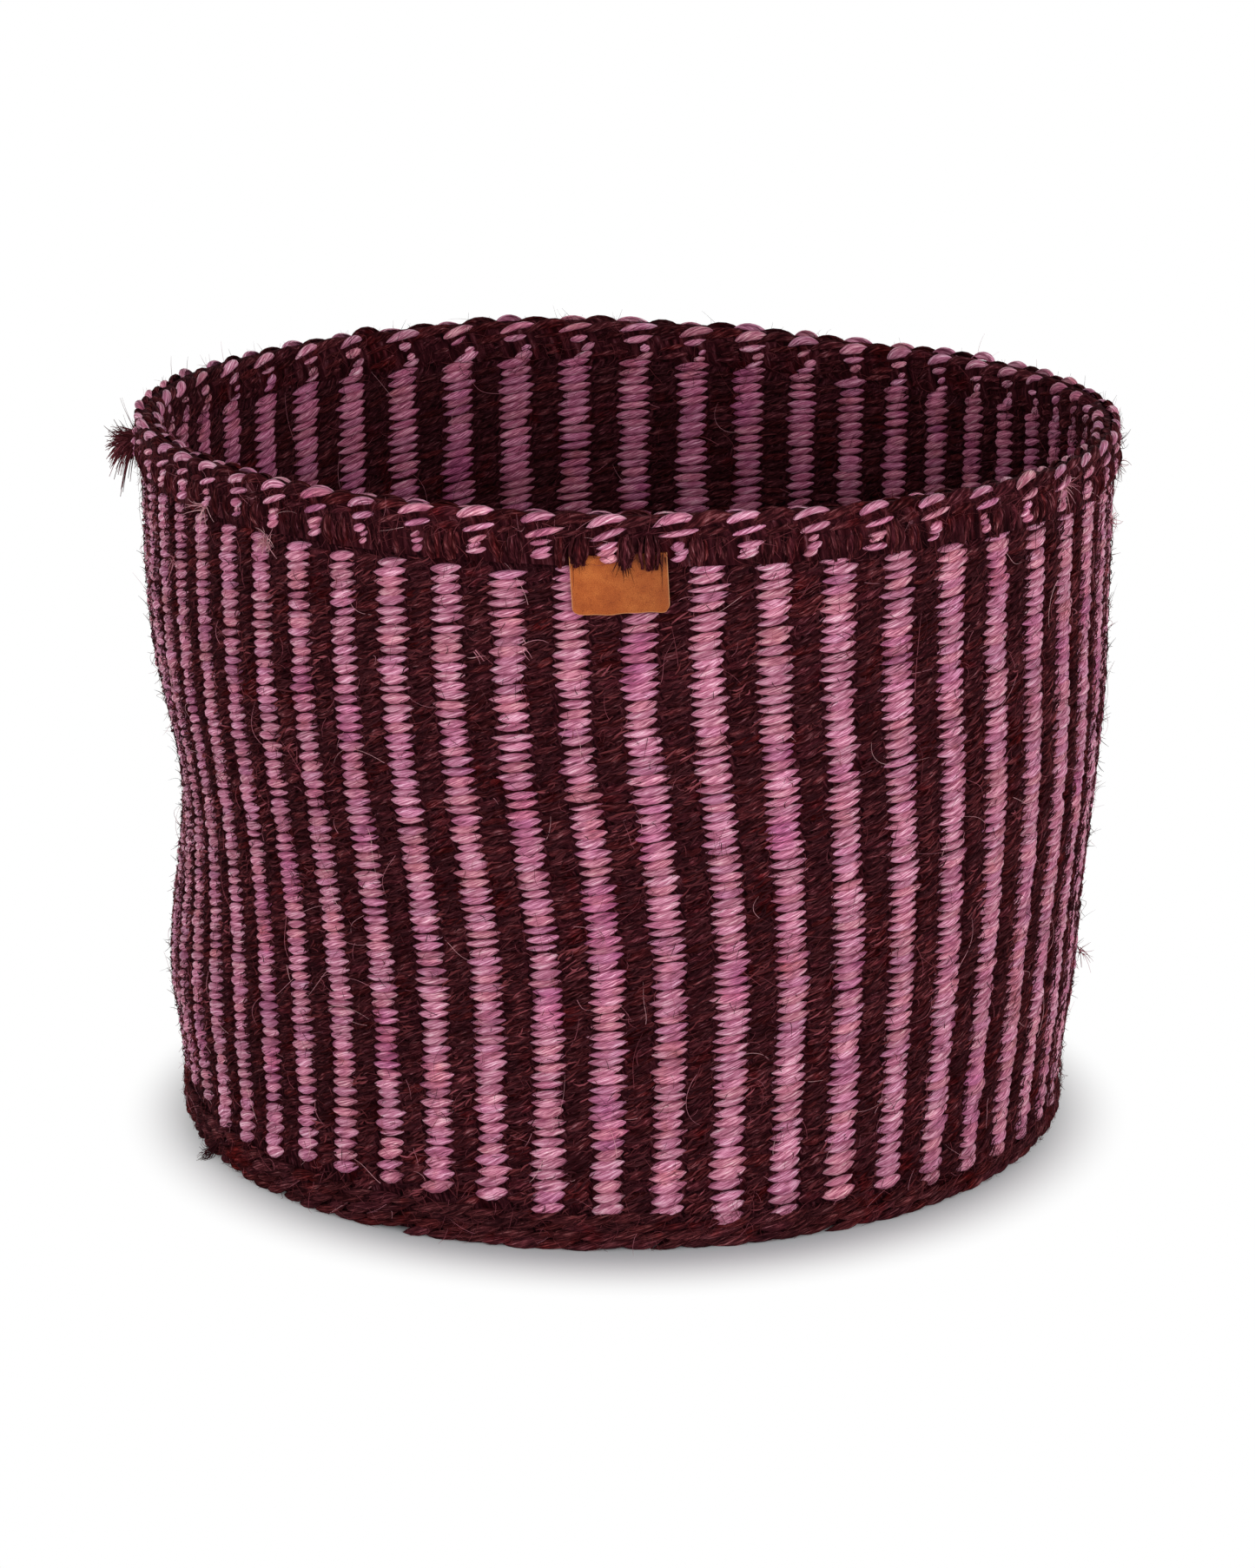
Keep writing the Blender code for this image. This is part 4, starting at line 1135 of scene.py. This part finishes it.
def light():
    """A white sky, weaker overhead, and two soft lamps."""
    world = bpy.data.worlds.new("studio")
    bpy.context.scene.world = world
    world.use_nodes = True
    tree = world.node_tree
    back = tree.nodes["Background"]
    back.inputs["Color"].default_value = (1, 1, 1, 1)
    where = node(tree, "ShaderNodeTexCoord").outputs["Generated"]
    way = node(tree, "ShaderNodeSeparateXYZ", {"Vector": where})
    sky = scaled(tree, way.outputs["Z"], *SKY_SLOPES, SKY_AT_HORIZON, SKY_OVERHEAD)
    strength = node(tree, "ShaderNodeMix", {
        "Factor": seen_directly(tree), "A": sky, "B": 1.0,
    }, data_type="FLOAT")
    tree.links.new(strength.outputs["Result"], back.inputs["Strength"])
    for name, place_of_lamp, size, power in LAMPS:
        data = bpy.data.lights.new(name, "AREA")
        data.size = size
        data.energy = power
        lamp = bpy.data.objects.new(name, data)
        bpy.context.scene.collection.objects.link(lamp)
        lamp.location = place_of_lamp
        aim = np.array(LAMP_AIM) - np.array(place_of_lamp)
        lamp.rotation_mode = "QUATERNION"
        lamp.rotation_quaternion = Vector(aim).to_track_quat("-Z", "Y")


def camera():
    """The camera at the photograph's viewing angle."""
    data = bpy.data.cameras.new("camera")
    data.sensor_width = SENSOR_WIDTH
    data.lens = CAMERA_LENS
    made = bpy.data.objects.new("camera", data)
    bpy.context.scene.collection.objects.link(made)
    made.location = CAMERA_PLACE
    made.rotation_euler = (math.pi / 2 - CAMERA_PITCH, 0, 0)
    bpy.context.scene.camera = made


pink = sisal("pink_sisal", PINK_TONES_WITH_PAINTED_LIGHT, PINK_DYES, PINK_TINTS, PINK_LEVELS, PINK_GRAIN, 0.5, 0.4)
# Darker copies of the pink and the plum for the inside and the warps: painted shade
painted_shade_inner_pink = sisal("pink_inner_sisal_painted_shade", INNER_PINK_SHADED_TONES_WITH_PAINTED_LIGHT, PINK_DYES, INNER_PINK_SHADED_TINTS,
                   PINK_LEVELS, PINK_GRAIN, 0.6, 0.2)
plum = sisal("plum_sisal", PLUM_TONES_WITH_PAINTED_LIGHT, PLUM_DYES, PLUM_TINTS, PLUM_LEVELS, PLUM_GRAIN, 0.7, 0.01)
painted_shade_inner_plum = sisal("plum_inner_sisal_painted_shade", INNER_PLUM_SHADED_TONES_WITH_PAINTED_LIGHT, PLUM_DYES, PLUM_TINTS, PLUM_LEVELS,
                   PLUM_GRAIN, 0.7, 0.01)
plum_foot = sisal("plum_foot_sisal", FOOT_TONES_WITH_PAINTED_LIGHT, FOOT_DYES, PLUM_TINTS, FOOT_LEVELS, FOOT_GRAIN,
                  0.7, 0.01, FOOT_STREAK_TILT)
fibre = loose_fibre()

build_wall(pink, plum, painted_shade_inner_pink, painted_shade_inner_plum)
build_rim(pink, plum)
build_foot(plum_foot)
build_fuzz(fibre)
build_tails(fibre)
label(leather())
floor()
light()
camera()
bpy.context.scene.view_settings.view_transform = "Standard"
